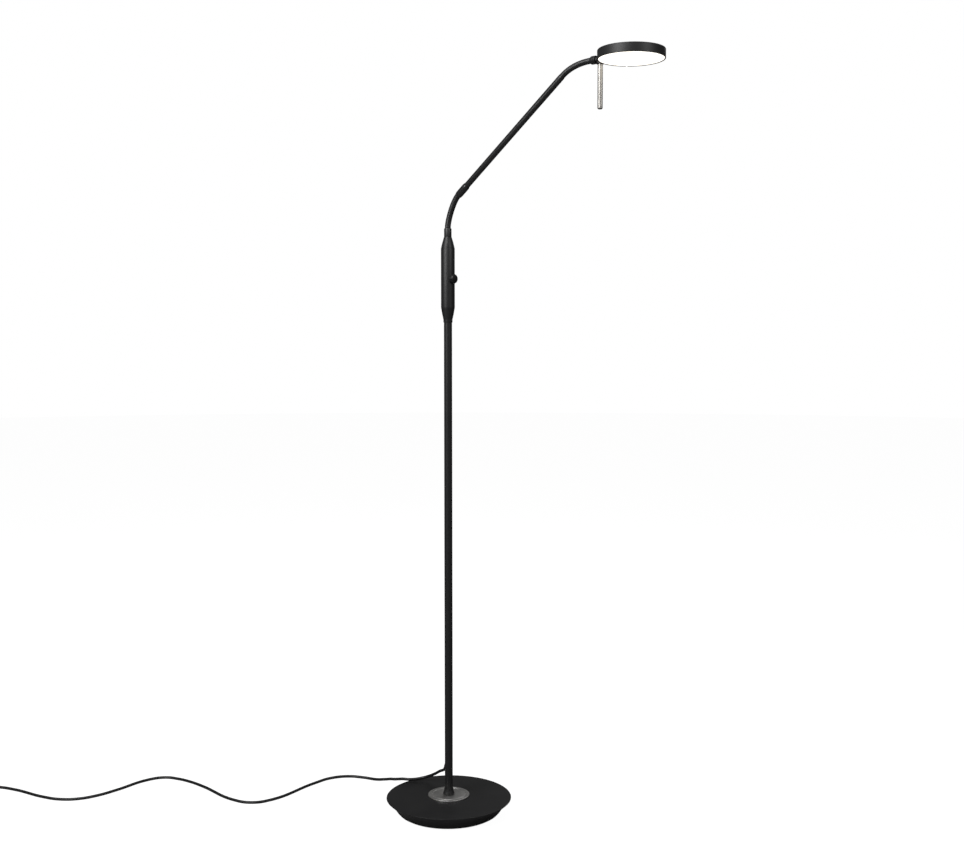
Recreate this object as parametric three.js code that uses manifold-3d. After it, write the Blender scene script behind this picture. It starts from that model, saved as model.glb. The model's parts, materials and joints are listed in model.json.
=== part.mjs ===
// Pharmacy reading floor lamp with a dimmer body on the pole and a flat LED head on two flexible necks.
// Millimetres, +Z up. The origin is the centre of the pad under the base, on the floor.
// The arm leaves the pole in a vertical plane turned ARM_AZIMUTH degrees about +Z.
import * as THREE from "three";
import { mergeVertices } from "three/addons/utils/BufferGeometryUtils.js";
import Module from "manifold-3d";

const wasm = await Module();
wasm.setup();

// ---- Clearances ----
const GAP = 0.3; // between faces that touch on the real lamp
const RUNNING_GAP = 0.3; // round a shaft that turns

// ---- Base ----
const BASE_RIM_RADIUS = 115;
const BASE_HEIGHT = 32; // at the flat middle of the gently sloping top
const BASE_RIM_DROP = 2.8; // how much lower the rim is than the middle
const BASE_FOOT_RADIUS = 84; // lowest edge of the cover
const COVER_WALL = 1.4;
const COVER_EDGE_Z = 1; // the cover ends just above the floor
const BASE_SIDES = 64; // facets round every turned piece of the base
const WEIGHT_RECESS = { inner: 24, outer: 70, depth: 10 }; // ring-shaped hollow under the weight
const PAD_RADIUS = 80;
const PAD_THICKNESS = 3.1;
const ROSETTE_RADIUS = 38;
const ROSETTE_THICKNESS = 2.1;
const ROSETTE_GROOVE_RADIUS = 30.5;

// ---- Pole and its foot ----
const POLE_RADIUS = 7.3;
const POLE_WALL = 1;
const POLE_LENGTH = 871.3; // between the rosette and the dimmer body's lower taper
const POLE_HOLD = 20; // how far the pole runs on inside the dimmer body
const FOOT_COLLAR_FLARE = 3.1; // how far its foot stands out from the pole
const FOOT_COLLAR_HEIGHT = 10.8;
const BOLT_RADIUS = 5;
const BOLT_HEAD_RADIUS = 9.2;
const BOLT_HEAD_HEIGHT = 6.4;
const WASHER_RADIUS = 14;
const WASHER_THICKNESS = 2;
const BOLT_REACH = 26; // how far the bolt stands into the pole
const BUSHING_LENGTH = 34;

// ---- Dimmer body ----
const HOUSING_LENGTH = 147.3;
const HOUSING_RADIUS = 12.4;
const HOUSING_WALL = 1.4;
const LOWER_TAPER = 21.6;
const UPPER_TAPER = 20.5;
const LIP_WALL = 0.6; // of the thin edge where the body meets the pole
const LIP_HEIGHT = 5; // of that edge, under the lower taper
const CAP_SPIGOT = 10.5; // plug of the cap inside the tube
const KNOB_HEIGHT = 72.5; // above the lower end of the dimmer body
const KNOB_AZIMUTH = -45; // degrees about +Z from +X
const KNOB_RADIUS = 8.2;
const KNOB_THICKNESS = 5.4;
const KNOB_DOME = 2.2;
const KNOB_SEAT_RADIUS = 7;
const KNOB_SEAT_PROUD = 0.5; // of the seat's face from the round body
const KNOB_SEAT_DEPTH = 1.5; // of the seat's boss inside the body
const POT_SHAFT_RADIUS = 3;
const POT_SIZE = { width: 11, height: 15, depth: 6.6 };
const BOARD_SIZE = { width: 17, height: 66, thickness: 1.6 };

// ---- Swivel ----
const STEM_RADIUS = 6.7;
const STEM_HEIGHT = 15.6;
const SWIVEL_PIN_RADIUS = 4;
const CLIP_WIDTH = 2.9;
const CLIP_THICKNESS = 2.2;

// ---- Arm ----
const ARM_AZIMUTH = -41;
const ARM_SLOPE = 38.2; // degrees above level
const NECK_RADIUS = 5.35;
const NECK_RUN = 24.4; // level distance covered by the lower neck
const NECK_RISE = 55.4;
const NECK_HANDLE = 14; // how far each end of a neck runs nearly straight
const JOINER_WALL = 0.9;
const JOINER_LENGTH = 26;
const JOINER_CHAMFER = { width: 0.7, length: 2.8 }; // softly tapered ends
const JOINER_HOLD = 11; // length of neck inside the sleeve
const TUBE_RADIUS = 5.35;
const TUBE_WALL = 1.2;
const TUBE_LENGTH = 277; // from the sleeve's middle to the upper neck
const UPPER_NECK_RADIUS = 4.95;
const UPPER_NECK_RUN = 57.5; // level distance covered by the upper neck
const UPPER_NECK_RISE = 16.6;
const SPIGOT_LENGTH = 12;
const LINK_GAP = 1.7; // free space that lets neighbouring neck pieces bend
const BENDS = 3; // hinges in each neck

// ---- Head ----
const COLLAR_WALL = 1.5;
const COLLAR_LENGTH = 10;
const COLLAR_HOLD = 5; // length of neck inside the collar
const HANDLE_REACH = 17.5; // from the collar's start to the handle's axis
const HANDLE_STANDOFF = 5; // from the handle's axis to the head's side
const HEAD_RADIUS = 54.2;
const HEAD_HEIGHT = 15.1;
const HEAD_WALL = 1.7;
const HEAD_EDGE = 1.6; // rounding of the top edge
const HEAD_DROP = 8.4; // from the neck's axis down to the head's open rim
const DIFFUSER_THICKNESS = 2.2;
const GUIDE_MARGIN = 0.8; // between the light guide and the screw's head
const GUIDE_THICKNESS = 2.6;
const REFLECTOR_THICKNESS = 0.6;
const LED_BOARD_THICKNESS = 1.6;
const KNUCKLE_RADIUS = 5.9;
const KNUCKLE_STUB_RADIUS = 4.6;
const SCREW_RADIUS = 2;
const SCREW_HEAD_RADIUS = 2.7;
const SCREW_HEAD_HEIGHT = 2.4;
const SCREW_LENGTH = 9;
const HANDLE_RADIUS = 4.25;
const HANDLE_LENGTH = 71.5;
const HANDLE_SPIGOT = { radius: 2, length: 3.4 };
const PRY_NOTCH = { width: 3, depth: 1.1 };

// ---- Mains lead ----
const CORD_RADIUS = 2.7;
const CORD_FLOOR_Z = 2.85;
const GLAND_HEIGHT = 56.3; // above the pole's foot
const GLAND_AZIMUTH = 105;
const GLAND_SLOPE = -40;
const GLAND_LENGTH = 22;
const GLAND_RADIUS = 4.7;
const GLAND_TIP_RADIUS = 3.5;
const COIL_CENTRE = { x: -936, y: 118 };
const COIL_RADIUS = 30;
const COIL_BAND = 11.4; // width and height of the wound turns
const PLUG_SIZE = { width: 35.5, length: 34, height: 13.6 };
const PLUG_PIN = { radius: 2, length: 19, root: 7, spacing: 18 };
const PLUG_CENTRE = { x: -969, y: 50 };

// Where the lead runs: over the base's rim at the back, then in slow waves along the floor.
const LEAD_ROUTE = [
  [-8.6, 34, 68.6],
  [-16.8, 52, 59.2],
  [-28, 69, 47.6],
  [-38, 78.5, 40.6],
  [-50, 82.6, 36],
  [-63.5, 82.2, 33.7],
  [-77.9, 79.8, 33.2],
  [-86, 81.5, 33.3],
  [-94, 89.5, 31],
  [-101.5, 102, 26.8],
  [-112.6, 126, 19],
  [-126, 148.5, 10.6],
  [-144, 167.5, 4],
  [-169, 182, CORD_FLOOR_Z],
  [-201, 190, CORD_FLOOR_Z],
  [-235, 180, CORD_FLOOR_Z],
  [-262, 154, CORD_FLOOR_Z],
  [-289, 115, CORD_FLOOR_Z],
  [-317, 79, CORD_FLOOR_Z],
  [-345, 57, CORD_FLOOR_Z],
  [-372, 50, CORD_FLOOR_Z],
  [-400, 60, CORD_FLOOR_Z],
  [-426, 82, CORD_FLOOR_Z],
  [-453, 112, CORD_FLOOR_Z],
  [-481, 142, CORD_FLOOR_Z],
  [-508, 166, CORD_FLOOR_Z],
  [-536, 184, CORD_FLOOR_Z],
  [-564, 193, CORD_FLOOR_Z],
  [-591, 183, CORD_FLOOR_Z],
  [-617, 156, CORD_FLOOR_Z],
  [-643, 123, CORD_FLOOR_Z],
  [-671, 95, CORD_FLOOR_Z],
  [-703, 78, CORD_FLOOR_Z],
  [-737, 77, CORD_FLOOR_Z],
  [-771, 90, CORD_FLOOR_Z],
  [-804, 110, CORD_FLOOR_Z],
  [-838, 131, CORD_FLOOR_Z],
  [-874, 146, CORD_FLOOR_Z],
  [-914.5, 151, CORD_FLOOR_Z],
];
const TAIL_ROUTE = [
  [-969.2, 99.5, 5.6],
  [-970, 89, 6.4],
  [-969.4, 78, 6.8],
  [-969, 67.3, 6.8],
];

// ---- Materials ----
const blackPaint = () =>
  new THREE.MeshStandardMaterial({ color: 0x141414, roughness: 0.55, metalness: 0.2 });
const blackPlastic = () =>
  new THREE.MeshStandardMaterial({ color: 0x101010, roughness: 0.5, metalness: 0 });
const blackSheath = () =>
  new THREE.MeshStandardMaterial({ color: 0x121212, roughness: 0.6, metalness: 0 });
const satinNickel = () =>
  new THREE.MeshStandardMaterial({ color: 0xb4b0a8, roughness: 0.3, metalness: 1 });
const zincSteel = () =>
  new THREE.MeshStandardMaterial({ color: 0x9a9c9e, roughness: 0.4, metalness: 1 });
const castIron = () =>
  new THREE.MeshStandardMaterial({ color: 0x3a3a3a, roughness: 0.9, metalness: 0.4 });
const feltPad = () =>
  new THREE.MeshStandardMaterial({ color: 0x1b1b1b, roughness: 1, metalness: 0 });
const opalPlastic = () =>
  new THREE.MeshStandardMaterial({
    color: 0xffffff,
    roughness: 0.4,
    metalness: 0,
    emissive: 0xfff2dc,
    emissiveIntensity: 1,
  });
const clearPlastic = () =>
  new THREE.MeshStandardMaterial({ color: 0xf2f6f8, roughness: 0.1, metalness: 0 });
const whiteSheet = () =>
  new THREE.MeshStandardMaterial({ color: 0xf4f4f4, roughness: 0.7, metalness: 0 });
const circuitBoard = () =>
  new THREE.MeshStandardMaterial({ color: 0x1f5a38, roughness: 0.5, metalness: 0 });
const pvcCord = () =>
  new THREE.MeshStandardMaterial({ color: 0x0d0d0d, roughness: 0.5, metalness: 0 });

// ---- Helpers ----
const radians = THREE.MathUtils.degToRad;

/** A point of the arm's plane, `reach` out from the pole's axis and `z` above the floor. */
function armPoint(reach, z) {
  const a = radians(ARM_AZIMUTH);
  return new THREE.Vector3(reach * Math.cos(a), reach * Math.sin(a), z);
}

/** A unit vector of the arm's plane, `slope` degrees above level. */
function armDirection(slope) {
  return armPoint(Math.cos(radians(slope)), Math.sin(radians(slope)));
}

/** A solid turned about +Z from [radius, height] points that start and end on the axis or meet. */
function turned(profile, segments = 48) {
  const points = profile
    .map(([r, z]) => new THREE.Vector2(r, z))
    .filter((p, i, all) => i === 0 || p.distanceTo(all[i - 1]) > 1e-4);
  const area = points.reduce((sum, p, i) => {
    const q = points[(i + 1) % points.length];
    return sum + p.x * q.y - q.x * p.y;
  }, 0);
  if (area < 0) points.reverse();
  return new THREE.LatheGeometry(points, segments).rotateX(Math.PI / 2);
}

/** A ring turned about +Z from a profile that closes on itself. */
function turnedRing(profile, segments = 48) {
  return turned([...profile, profile[0]], segments);
}

/** A plain cylinder about +Z from z = `from` to z = `to`. */
function cylinder(radius, from, to, segments = 32) {
  return turned([[0, from], [radius, from], [radius, to], [0, to]], segments);
}

/** Stands a +Z solid up along `direction` with its z = 0 at `place`. */
function aimed(geometry, direction, place) {
  const turn = new THREE.Quaternion().setFromUnitVectors(
    new THREE.Vector3(0, 0, 1),
    direction.clone().normalize(),
  );
  return geometry.clone().applyQuaternion(turn).translate(place.x, place.y, place.z);
}

/** A round bar or, with `bore`, a tube swept along a curve. */
function swept(curve, radius, { sides = 20, steps = 8, bore = 0 } = {}) {
  const circle = (r) => {
    const ring = [];
    for (let i = 0; i < sides; i += 1) {
      const t = (2 * Math.PI * i) / sides;
      ring.push(new THREE.Vector2(r * Math.cos(t), r * Math.sin(t)));
    }
    return ring;
  };
  const shape = new THREE.Shape(circle(radius));
  if (bore > 0) shape.holes.push(new THREE.Path(circle(bore)));
  return new THREE.ExtrudeGeometry(shape, { steps, extrudePath: curve, bevelEnabled: false });
}

function solid(geometry) {
  const bare = new THREE.BufferGeometry();
  bare.setAttribute("position", geometry.getAttribute("position"));
  if (geometry.index) bare.setIndex(geometry.index);
  const welded = mergeVertices(bare, 1e-3);
  return new wasm.Manifold(
    new wasm.Mesh({
      numProp: 3,
      vertProperties: new Float32Array(welded.attributes.position.array),
      triVerts: new Uint32Array(welded.index.array),
    }),
  );
}

function geometryOf(manifold) {
  const mesh = manifold.getMesh();
  const geometry = new THREE.BufferGeometry();
  geometry.setAttribute("position", new THREE.BufferAttribute(mesh.vertProperties, 3));
  geometry.setIndex(new THREE.BufferAttribute(mesh.triVerts, 1));
  return geometry;
}

function joined(...geometries) {
  return geometryOf(geometries.map(solid).reduce((a, b) => a.add(b)));
}

function cut(geometry, ...tools) {
  return geometryOf(tools.map(solid).reduce((a, b) => a.subtract(b), solid(geometry)));
}

function piece(name, geometry, material) {
  geometry.computeVertexNormals();
  const mesh = new THREE.Mesh(geometry, material);
  mesh.name = name;
  return mesh;
}

// ---- Base ----

const BASE_RIM_Z = BASE_HEIGHT - BASE_RIM_DROP;

/** Outer line of the base's side, from the rim down to the foot edge, moved in by `inset`. */
function baseSide(inset) {
  const rim = BASE_RIM_RADIUS - inset;
  const foot = BASE_FOOT_RADIUS - inset;
  const height = BASE_RIM_Z - COVER_EDGE_Z;
  return [
    [rim, BASE_RIM_Z - inset],
    [foot + (rim - foot) * 0.6, COVER_EDGE_Z + height * 0.585],
    [foot + (rim - foot) * 0.42, COVER_EDGE_Z + height * 0.29],
    [foot + (rim - foot) * 0.29, COVER_EDGE_Z + height * 0.128],
    [foot + (rim - foot) * 0.145, COVER_EDGE_Z + height * 0.035],
  ];
}

function baseCover() {
  const outer = [
    [BOLT_RADIUS + RUNNING_GAP, BASE_HEIGHT],
    [ROSETTE_RADIUS + 1, BASE_HEIGHT],
    [BASE_RIM_RADIUS - 1.2, BASE_RIM_Z + 0.5],
    [BASE_RIM_RADIUS - 0.3, BASE_RIM_Z + 0.3],
    ...baseSide(0),
    [BASE_FOOT_RADIUS, COVER_EDGE_Z],
  ];
  const inner = [
    [BASE_FOOT_RADIUS - COVER_WALL, COVER_EDGE_Z],
    ...baseSide(COVER_WALL).reverse(),
    [ROSETTE_RADIUS + 1, BASE_HEIGHT - COVER_WALL],
    [BOLT_RADIUS + RUNNING_GAP, BASE_HEIGHT - COVER_WALL],
  ];
  return piece("base_cover", turnedRing([...outer, ...inner], BASE_SIDES), blackPaint());
}

function baseWeight() {
  const inset = COVER_WALL + GAP;
  const floor = PAD_THICKNESS + GAP;
  const recess = floor + BOLT_HEAD_HEIGHT + WASHER_THICKNESS + 2 * GAP;
  const [rim, ...side] = baseSide(inset + 1).filter(([, z]) => z > floor + 0.5);
  const profile = [
    [WASHER_RADIUS + 2, floor],
    [WEIGHT_RECESS.inner, floor],
    [WEIGHT_RECESS.inner, floor + WEIGHT_RECESS.depth],
    [WEIGHT_RECESS.outer, floor + WEIGHT_RECESS.depth],
    [WEIGHT_RECESS.outer, floor],
    [side[side.length - 1][0] - 3.6, floor],
    ...side.reverse(),
    [rim[0] - 4, BASE_RIM_Z - inset],
    [ROSETTE_RADIUS + 1, BASE_HEIGHT - inset],
    [BOLT_RADIUS + RUNNING_GAP, BASE_HEIGHT - inset],
    [BOLT_RADIUS + RUNNING_GAP, recess],
    [WASHER_RADIUS + 2, recess],
  ];
  return piece("base_weight", turnedRing(profile, BASE_SIDES), castIron());
}

function basePad() {
  const edge = 0.5;
  const profile = [
    [0, 0],
    [PAD_RADIUS - edge, 0],
    [PAD_RADIUS, edge],
    [PAD_RADIUS, PAD_THICKNESS],
    [0, PAD_THICKNESS],
  ];
  return piece("base_pad", turned(profile, BASE_SIDES), feltPad());
}

const ROSETTE_Z = BASE_HEIGHT + GAP;
const POLE_FOOT_Z = ROSETTE_Z + ROSETTE_THICKNESS + GAP;
const HOUSING_BOTTOM_Z = POLE_FOOT_Z + POLE_LENGTH;
const POLE_TOP_Z = HOUSING_BOTTOM_Z + POLE_HOLD;

function baseRosette() {
  const top = ROSETTE_Z + ROSETTE_THICKNESS;
  const profile = [
    [BOLT_RADIUS + RUNNING_GAP, ROSETTE_Z],
    [ROSETTE_RADIUS, ROSETTE_Z],
    [ROSETTE_RADIUS, top - 0.8],
    [ROSETTE_RADIUS - 1.2, top],
    [ROSETTE_GROOVE_RADIUS + 0.7, top],
    [ROSETTE_GROOVE_RADIUS, top - 0.6],
    [ROSETTE_GROOVE_RADIUS - 0.7, top - 0.2],
    [BOLT_RADIUS + RUNNING_GAP, top],
  ];
  return piece("base_rosette", turnedRing(profile, 56), satinNickel());
}

function boltWasher() {
  const top = PAD_THICKNESS + BOLT_HEAD_HEIGHT + WASHER_THICKNESS + 2 * GAP;
  const profile = [
    [BOLT_RADIUS + RUNNING_GAP, top - WASHER_THICKNESS],
    [WASHER_RADIUS, top - WASHER_THICKNESS],
    [WASHER_RADIUS, top],
    [BOLT_RADIUS + RUNNING_GAP, top],
  ];
  return piece("bolt_washer", turnedRing(profile, 32), zincSteel());
}

function baseBolt() {
  const bottom = PAD_THICKNESS + GAP;
  const head = cylinder(BOLT_HEAD_RADIUS, bottom, bottom + BOLT_HEAD_HEIGHT - GAP, 6);
  const shank = cylinder(BOLT_RADIUS, bottom + 1, POLE_FOOT_Z + BOLT_REACH, 24);
  return piece("base_bolt", joined(head, shank), zincSteel());
}

// ---- Pole ----

function glandDirection() {
  const a = radians(GLAND_AZIMUTH);
  const s = radians(GLAND_SLOPE);
  return new THREE.Vector3(
    Math.cos(a) * Math.cos(s),
    Math.sin(a) * Math.cos(s),
    Math.sin(s),
  );
}

/** Where the gland's axis starts, on the pole's axis. */
function glandRoot() {
  const drop = POLE_RADIUS * Math.tan(radians(GLAND_SLOPE));
  return new THREE.Vector3(0, 0, POLE_FOOT_Z + GLAND_HEIGHT - drop);
}

function poleTube() {
  const profile = [
    [POLE_RADIUS - POLE_WALL, POLE_FOOT_Z],
    [POLE_RADIUS, POLE_FOOT_Z],
    [POLE_RADIUS, POLE_TOP_Z],
    [POLE_RADIUS - POLE_WALL, POLE_TOP_Z],
  ];
  const hole = aimed(
    cylinder(GLAND_TIP_RADIUS + GAP, POLE_RADIUS - 3, POLE_RADIUS + 6, 24),
    glandDirection(),
    glandRoot(),
  );
  return piece("pole_tube", cut(turnedRing(profile, 48), hole), blackPaint());
}

function poleBushing() {
  const outer = POLE_RADIUS - POLE_WALL - GAP;
  const profile = [
    [BOLT_RADIUS + RUNNING_GAP, POLE_FOOT_Z],
    [outer, POLE_FOOT_Z],
    [outer, POLE_FOOT_Z + BUSHING_LENGTH],
    [BOLT_RADIUS + RUNNING_GAP, POLE_FOOT_Z + BUSHING_LENGTH],
  ];
  return piece("pole_bushing", turnedRing(profile, 32), zincSteel());
}

function footCollar() {
  const bore = POLE_RADIUS + GAP;
  const top = POLE_FOOT_Z + FOOT_COLLAR_HEIGHT;
  const profile = [
    [bore, POLE_FOOT_Z],
    [POLE_RADIUS + FOOT_COLLAR_FLARE, POLE_FOOT_Z],
    [POLE_RADIUS + FOOT_COLLAR_FLARE, POLE_FOOT_Z + 2.4],
    [bore + 1.5, POLE_FOOT_Z + FOOT_COLLAR_HEIGHT * 0.62],
    [bore + 0.8, top],
    [bore, top],
  ];
  return piece("foot_collar", turnedRing(profile, 48), blackPaint());
}

function cordGland() {
  const tip = POLE_RADIUS + GLAND_LENGTH;
  const flange = turned(
    [
      [0, POLE_RADIUS - 2.4],
      [GLAND_TIP_RADIUS, POLE_RADIUS - 2.4],
      [GLAND_TIP_RADIUS, POLE_RADIUS - 1.4],
      [GLAND_RADIUS, POLE_RADIUS - 1.4],
      [GLAND_RADIUS, POLE_RADIUS + 4],
      [GLAND_TIP_RADIUS, tip],
      [0, tip],
    ],
    24,
  );
  const boot = aimed(flange, glandDirection(), glandRoot());
  const wall = turnedRing(
    [
      [POLE_RADIUS - POLE_WALL - GAP, POLE_FOOT_Z],
      [POLE_RADIUS + GAP, POLE_FOOT_Z],
      [POLE_RADIUS + GAP, POLE_TOP_Z],
      [POLE_RADIUS - POLE_WALL - GAP, POLE_TOP_Z],
    ],
    48,
  );
  const outside = aimed(
    cylinder(GLAND_RADIUS + 1, POLE_RADIUS - 6, tip + 1, 24),
    glandDirection(),
    glandRoot(),
  );
  const throat = aimed(
    cylinder(GLAND_TIP_RADIUS, POLE_RADIUS - 2.4, tip - 1, 24),
    glandDirection(),
    glandRoot(),
  );
  const shell = solid(boot).subtract(solid(wall).intersect(solid(outside)));
  return piece("cord_gland", geometryOf(shell.add(solid(throat))), blackPlastic());
}

// ---- Dimmer body ----

/** Turns a solid made about +Z so that +Z points out through the knob and +X points down. */
function onKnobAxis(geometry) {
  return geometry
    .rotateY(Math.PI / 2)
    .rotateZ(radians(KNOB_AZIMUTH))
    .translate(0, 0, KNOB_Z);
}

const HOUSING_TOP_Z = HOUSING_BOTTOM_Z + HOUSING_LENGTH;
const HOUSING_JOINT_Z = HOUSING_TOP_Z - UPPER_TAPER;
const KNOB_SEAT_DISTANCE = HOUSING_RADIUS + KNOB_SEAT_PROUD;
const KNOB_Z = HOUSING_BOTTOM_Z + KNOB_HEIGHT;

function dimmerHousing() {
  const bore = POLE_RADIUS + GAP;
  const inner = HOUSING_RADIUS - HOUSING_WALL;
  const lip = bore + LIP_WALL;
  const taperTop = HOUSING_BOTTOM_Z + LOWER_TAPER;
  const profile = [
    [bore, HOUSING_BOTTOM_Z - LIP_HEIGHT],
    [lip, HOUSING_BOTTOM_Z - LIP_HEIGHT],
    [lip, HOUSING_BOTTOM_Z],
    [lip + (HOUSING_RADIUS - lip) * 0.55, HOUSING_BOTTOM_Z + LOWER_TAPER * 0.5],
    [HOUSING_RADIUS, taperTop],
    [HOUSING_RADIUS, HOUSING_JOINT_Z - GAP],
    [inner, HOUSING_JOINT_Z - GAP],
    [inner, taperTop + 4],
    [bore, taperTop],
  ];
  const seat = onKnobAxis(
    cylinder(KNOB_SEAT_RADIUS, inner - KNOB_SEAT_DEPTH, KNOB_SEAT_DISTANCE, 36),
  );
  const shaftHole = onKnobAxis(
    cylinder(POT_SHAFT_RADIUS + RUNNING_GAP, 5, KNOB_SEAT_DISTANCE + 2, 24),
  );
  const body = joined(turnedRing(profile, 48), seat);
  return piece("dimmer_housing", cut(body, shaftHole), blackPaint());
}

function housingCap() {
  const bore = SWIVEL_PIN_RADIUS + RUNNING_GAP;
  const spigot = HOUSING_RADIUS - HOUSING_WALL - GAP;
  const lip = STEM_RADIUS + GAP;
  const profile = [
    [bore, HOUSING_JOINT_Z - CAP_SPIGOT],
    [spigot, HOUSING_JOINT_Z - CAP_SPIGOT],
    [spigot, HOUSING_JOINT_Z],
    [HOUSING_RADIUS, HOUSING_JOINT_Z],
    [lip + (HOUSING_RADIUS - lip) * 0.55, HOUSING_JOINT_Z + UPPER_TAPER * 0.5],
    [lip, HOUSING_TOP_Z],
    [bore, HOUSING_TOP_Z],
  ];
  return piece("housing_cap", turnedRing(profile, 48), blackPaint());
}

const POT_FACE = HOUSING_RADIUS - HOUSING_WALL - KNOB_SEAT_DEPTH - GAP;

function dimmerPot() {
  const { width, height, depth } = POT_SIZE;
  const box = new THREE.BoxGeometry(height, width, depth).translate(0, 0, POT_FACE - depth / 2);
  const shaft = cylinder(
    POT_SHAFT_RADIUS,
    POT_FACE - 1,
    KNOB_SEAT_DISTANCE + KNOB_THICKNESS - KNOB_DOME - 1,
    24,
  );
  return piece("dimmer_pot", onKnobAxis(joined(box, shaft)), zincSteel());
}

function dimmerBoard() {
  const { width, height, thickness } = BOARD_SIZE;
  const back = POT_FACE - POT_SIZE.depth - GAP;
  const board = new THREE.BoxGeometry(height, width, thickness).translate(0, 0, back - thickness / 2);
  const capacitor = new THREE.CylinderGeometry(3.4, 3.4, 16, 20).rotateZ(Math.PI / 2);
  capacitor.translate(-22, 0, back - thickness - 3.2);
  const triac = new THREE.BoxGeometry(10, 9, 3).translate(18, 0, back - thickness - 1.4);
  return piece("dimmer_board", onKnobAxis(joined(board, capacitor, triac)), circuitBoard());
}

function dimmerKnob() {
  const foot = KNOB_SEAT_DISTANCE + GAP;
  const top = foot + KNOB_THICKNESS;
  const bore = POT_SHAFT_RADIUS + GAP;
  const profile = [
    [bore, foot],
    [KNOB_RADIUS - 0.4, foot],
    [KNOB_RADIUS, foot + 0.5],
    [KNOB_RADIUS - 0.1, top - KNOB_DOME - 0.6],
    [KNOB_RADIUS - 0.9, top - KNOB_DOME + 0.3],
    [KNOB_RADIUS * 0.6, top - KNOB_DOME * 0.28],
    [KNOB_RADIUS * 0.3, top - KNOB_DOME * 0.06],
    [0, top],
    [0, top - KNOB_DOME - 0.6],
    [bore, top - KNOB_DOME - 0.6],
  ];
  return piece("dimmer_knob", onKnobAxis(turnedRing(profile, 48)), blackPlastic());
}

// ---- Swivel ----

const STEM_TOP_Z = HOUSING_TOP_Z + GAP + STEM_HEIGHT;
const CLIP_Z = HOUSING_JOINT_Z - CAP_SPIGOT - GAP - CLIP_THICKNESS;

function swivelStem() {
  const foot = HOUSING_TOP_Z + GAP;
  const profile = [
    [0, CLIP_Z - 2],
    [SWIVEL_PIN_RADIUS, CLIP_Z - 2],
    [SWIVEL_PIN_RADIUS, foot],
    [STEM_RADIUS, foot],
    [STEM_RADIUS, STEM_TOP_Z - 0.6],
    [STEM_RADIUS - 0.6, STEM_TOP_Z],
    [0, STEM_TOP_Z],
  ];
  return piece("swivel_stem", turned(profile, 40), blackPaint());
}

function swivelClip() {
  const bore = SWIVEL_PIN_RADIUS + GAP;
  const profile = [
    [bore, CLIP_Z],
    [bore + CLIP_WIDTH, CLIP_Z],
    [bore + CLIP_WIDTH, CLIP_Z + CLIP_THICKNESS],
    [bore, CLIP_Z + CLIP_THICKNESS],
  ];
  return piece("swivel_clip", turnedRing(profile, 32), zincSteel());
}

// ---- Flexible necks ----

const NECK_START_Z = STEM_TOP_Z + GAP;

/** The lower neck's axis, straight up out of the stem and over to the arm's slope. */
function lowerNeckCurve() {
  const start = armPoint(0, NECK_START_Z);
  const end = armPoint(NECK_RUN, NECK_START_Z + NECK_RISE);
  return new THREE.CubicBezierCurve3(
    start,
    start.clone().add(new THREE.Vector3(0, 0, NECK_HANDLE)),
    end.clone().addScaledVector(armDirection(ARM_SLOPE), -NECK_HANDLE),
    end,
  );
}

/** A point on the straight arm, `along` its axis from the lower neck's end. */
function armAxis(along) {
  const end = armPoint(NECK_RUN, NECK_START_Z + NECK_RISE);
  return end.addScaledVector(armDirection(ARM_SLOPE), along);
}

const TUBE_START = JOINER_HOLD + GAP;
const UPPER_NECK_START = TUBE_START + TUBE_LENGTH + GAP;

/** A point `reach` further out and `rise` higher than the upper neck's start. */
function fromUpperNeck(reach, rise) {
  return armAxis(UPPER_NECK_START).add(armPoint(reach, rise));
}

/** The upper neck's axis, from the arm's slope over to level. */
function upperNeckCurve() {
  const start = armAxis(UPPER_NECK_START);
  const end = fromUpperNeck(UPPER_NECK_RUN, UPPER_NECK_RISE);
  return new THREE.CubicBezierCurve3(
    start,
    start.clone().addScaledVector(armDirection(ARM_SLOPE), NECK_HANDLE),
    end.clone().addScaledVector(armDirection(0), -2 * NECK_HANDLE),
    end,
  );
}

/** The part of `curve` between two distances along it. */
function stretch(curve, from, to) {
  const length = curve.getLength();
  const points = [];
  const count = 6;
  for (let i = 0; i <= count; i += 1) {
    points.push(curve.getPointAt((from + ((to - from) * i) / count) / length));
  }
  return new THREE.CatmullRomCurve3(points);
}

/** The pieces of one neck: the fixed root, the links between the hinges, and the tip. */
function neckPieces(prefix, curve, radius, rootSpigot, tipHold) {
  const length = curve.getLength();
  const step = length / BENDS;
  const marks = [0];
  for (let i = 0; i < BENDS; i += 1) marks.push(step * (i + 0.5));
  marks.push(length);
  const names = [prefix + "_root"];
  for (let i = 1; i < BENDS; i += 1) names.push(prefix + "_link_" + i);
  names.push(prefix + "_tip");
  return names.map((name, i) => {
    const from = marks[i] + (i === 0 ? 0 : LINK_GAP / 2);
    const to = marks[i + 1] - (i === names.length - 1 ? 0 : LINK_GAP / 2);
    let body = swept(stretch(curve, from, to), radius, { steps: 6 });
    if (i === 0 && rootSpigot) body = joined(body, rootSpigot);
    if (i === names.length - 1 && tipHold) body = joined(body, tipHold);
    return piece(name, body, blackSheath());
  });
}

function lowerNeck() {
  const hold = aimed(
    cylinder(NECK_RADIUS, -0.5, JOINER_HOLD, 20),
    armDirection(ARM_SLOPE),
    armAxis(0),
  );
  return neckPieces("lower_neck", lowerNeckCurve(), NECK_RADIUS, null, hold);
}

function upperNeck() {
  const spigot = aimed(
    cylinder(TUBE_RADIUS - TUBE_WALL - GAP, -SPIGOT_LENGTH, 1, 20),
    armDirection(ARM_SLOPE),
    armAxis(UPPER_NECK_START),
  );
  const hold = aimed(
    cylinder(UPPER_NECK_RADIUS, -0.5, COLLAR_HOLD, 20),
    armDirection(0),
    fromUpperNeck(UPPER_NECK_RUN, UPPER_NECK_RISE),
  );
  return neckPieces("upper_neck", upperNeckCurve(), UPPER_NECK_RADIUS, spigot, hold);
}

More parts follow.
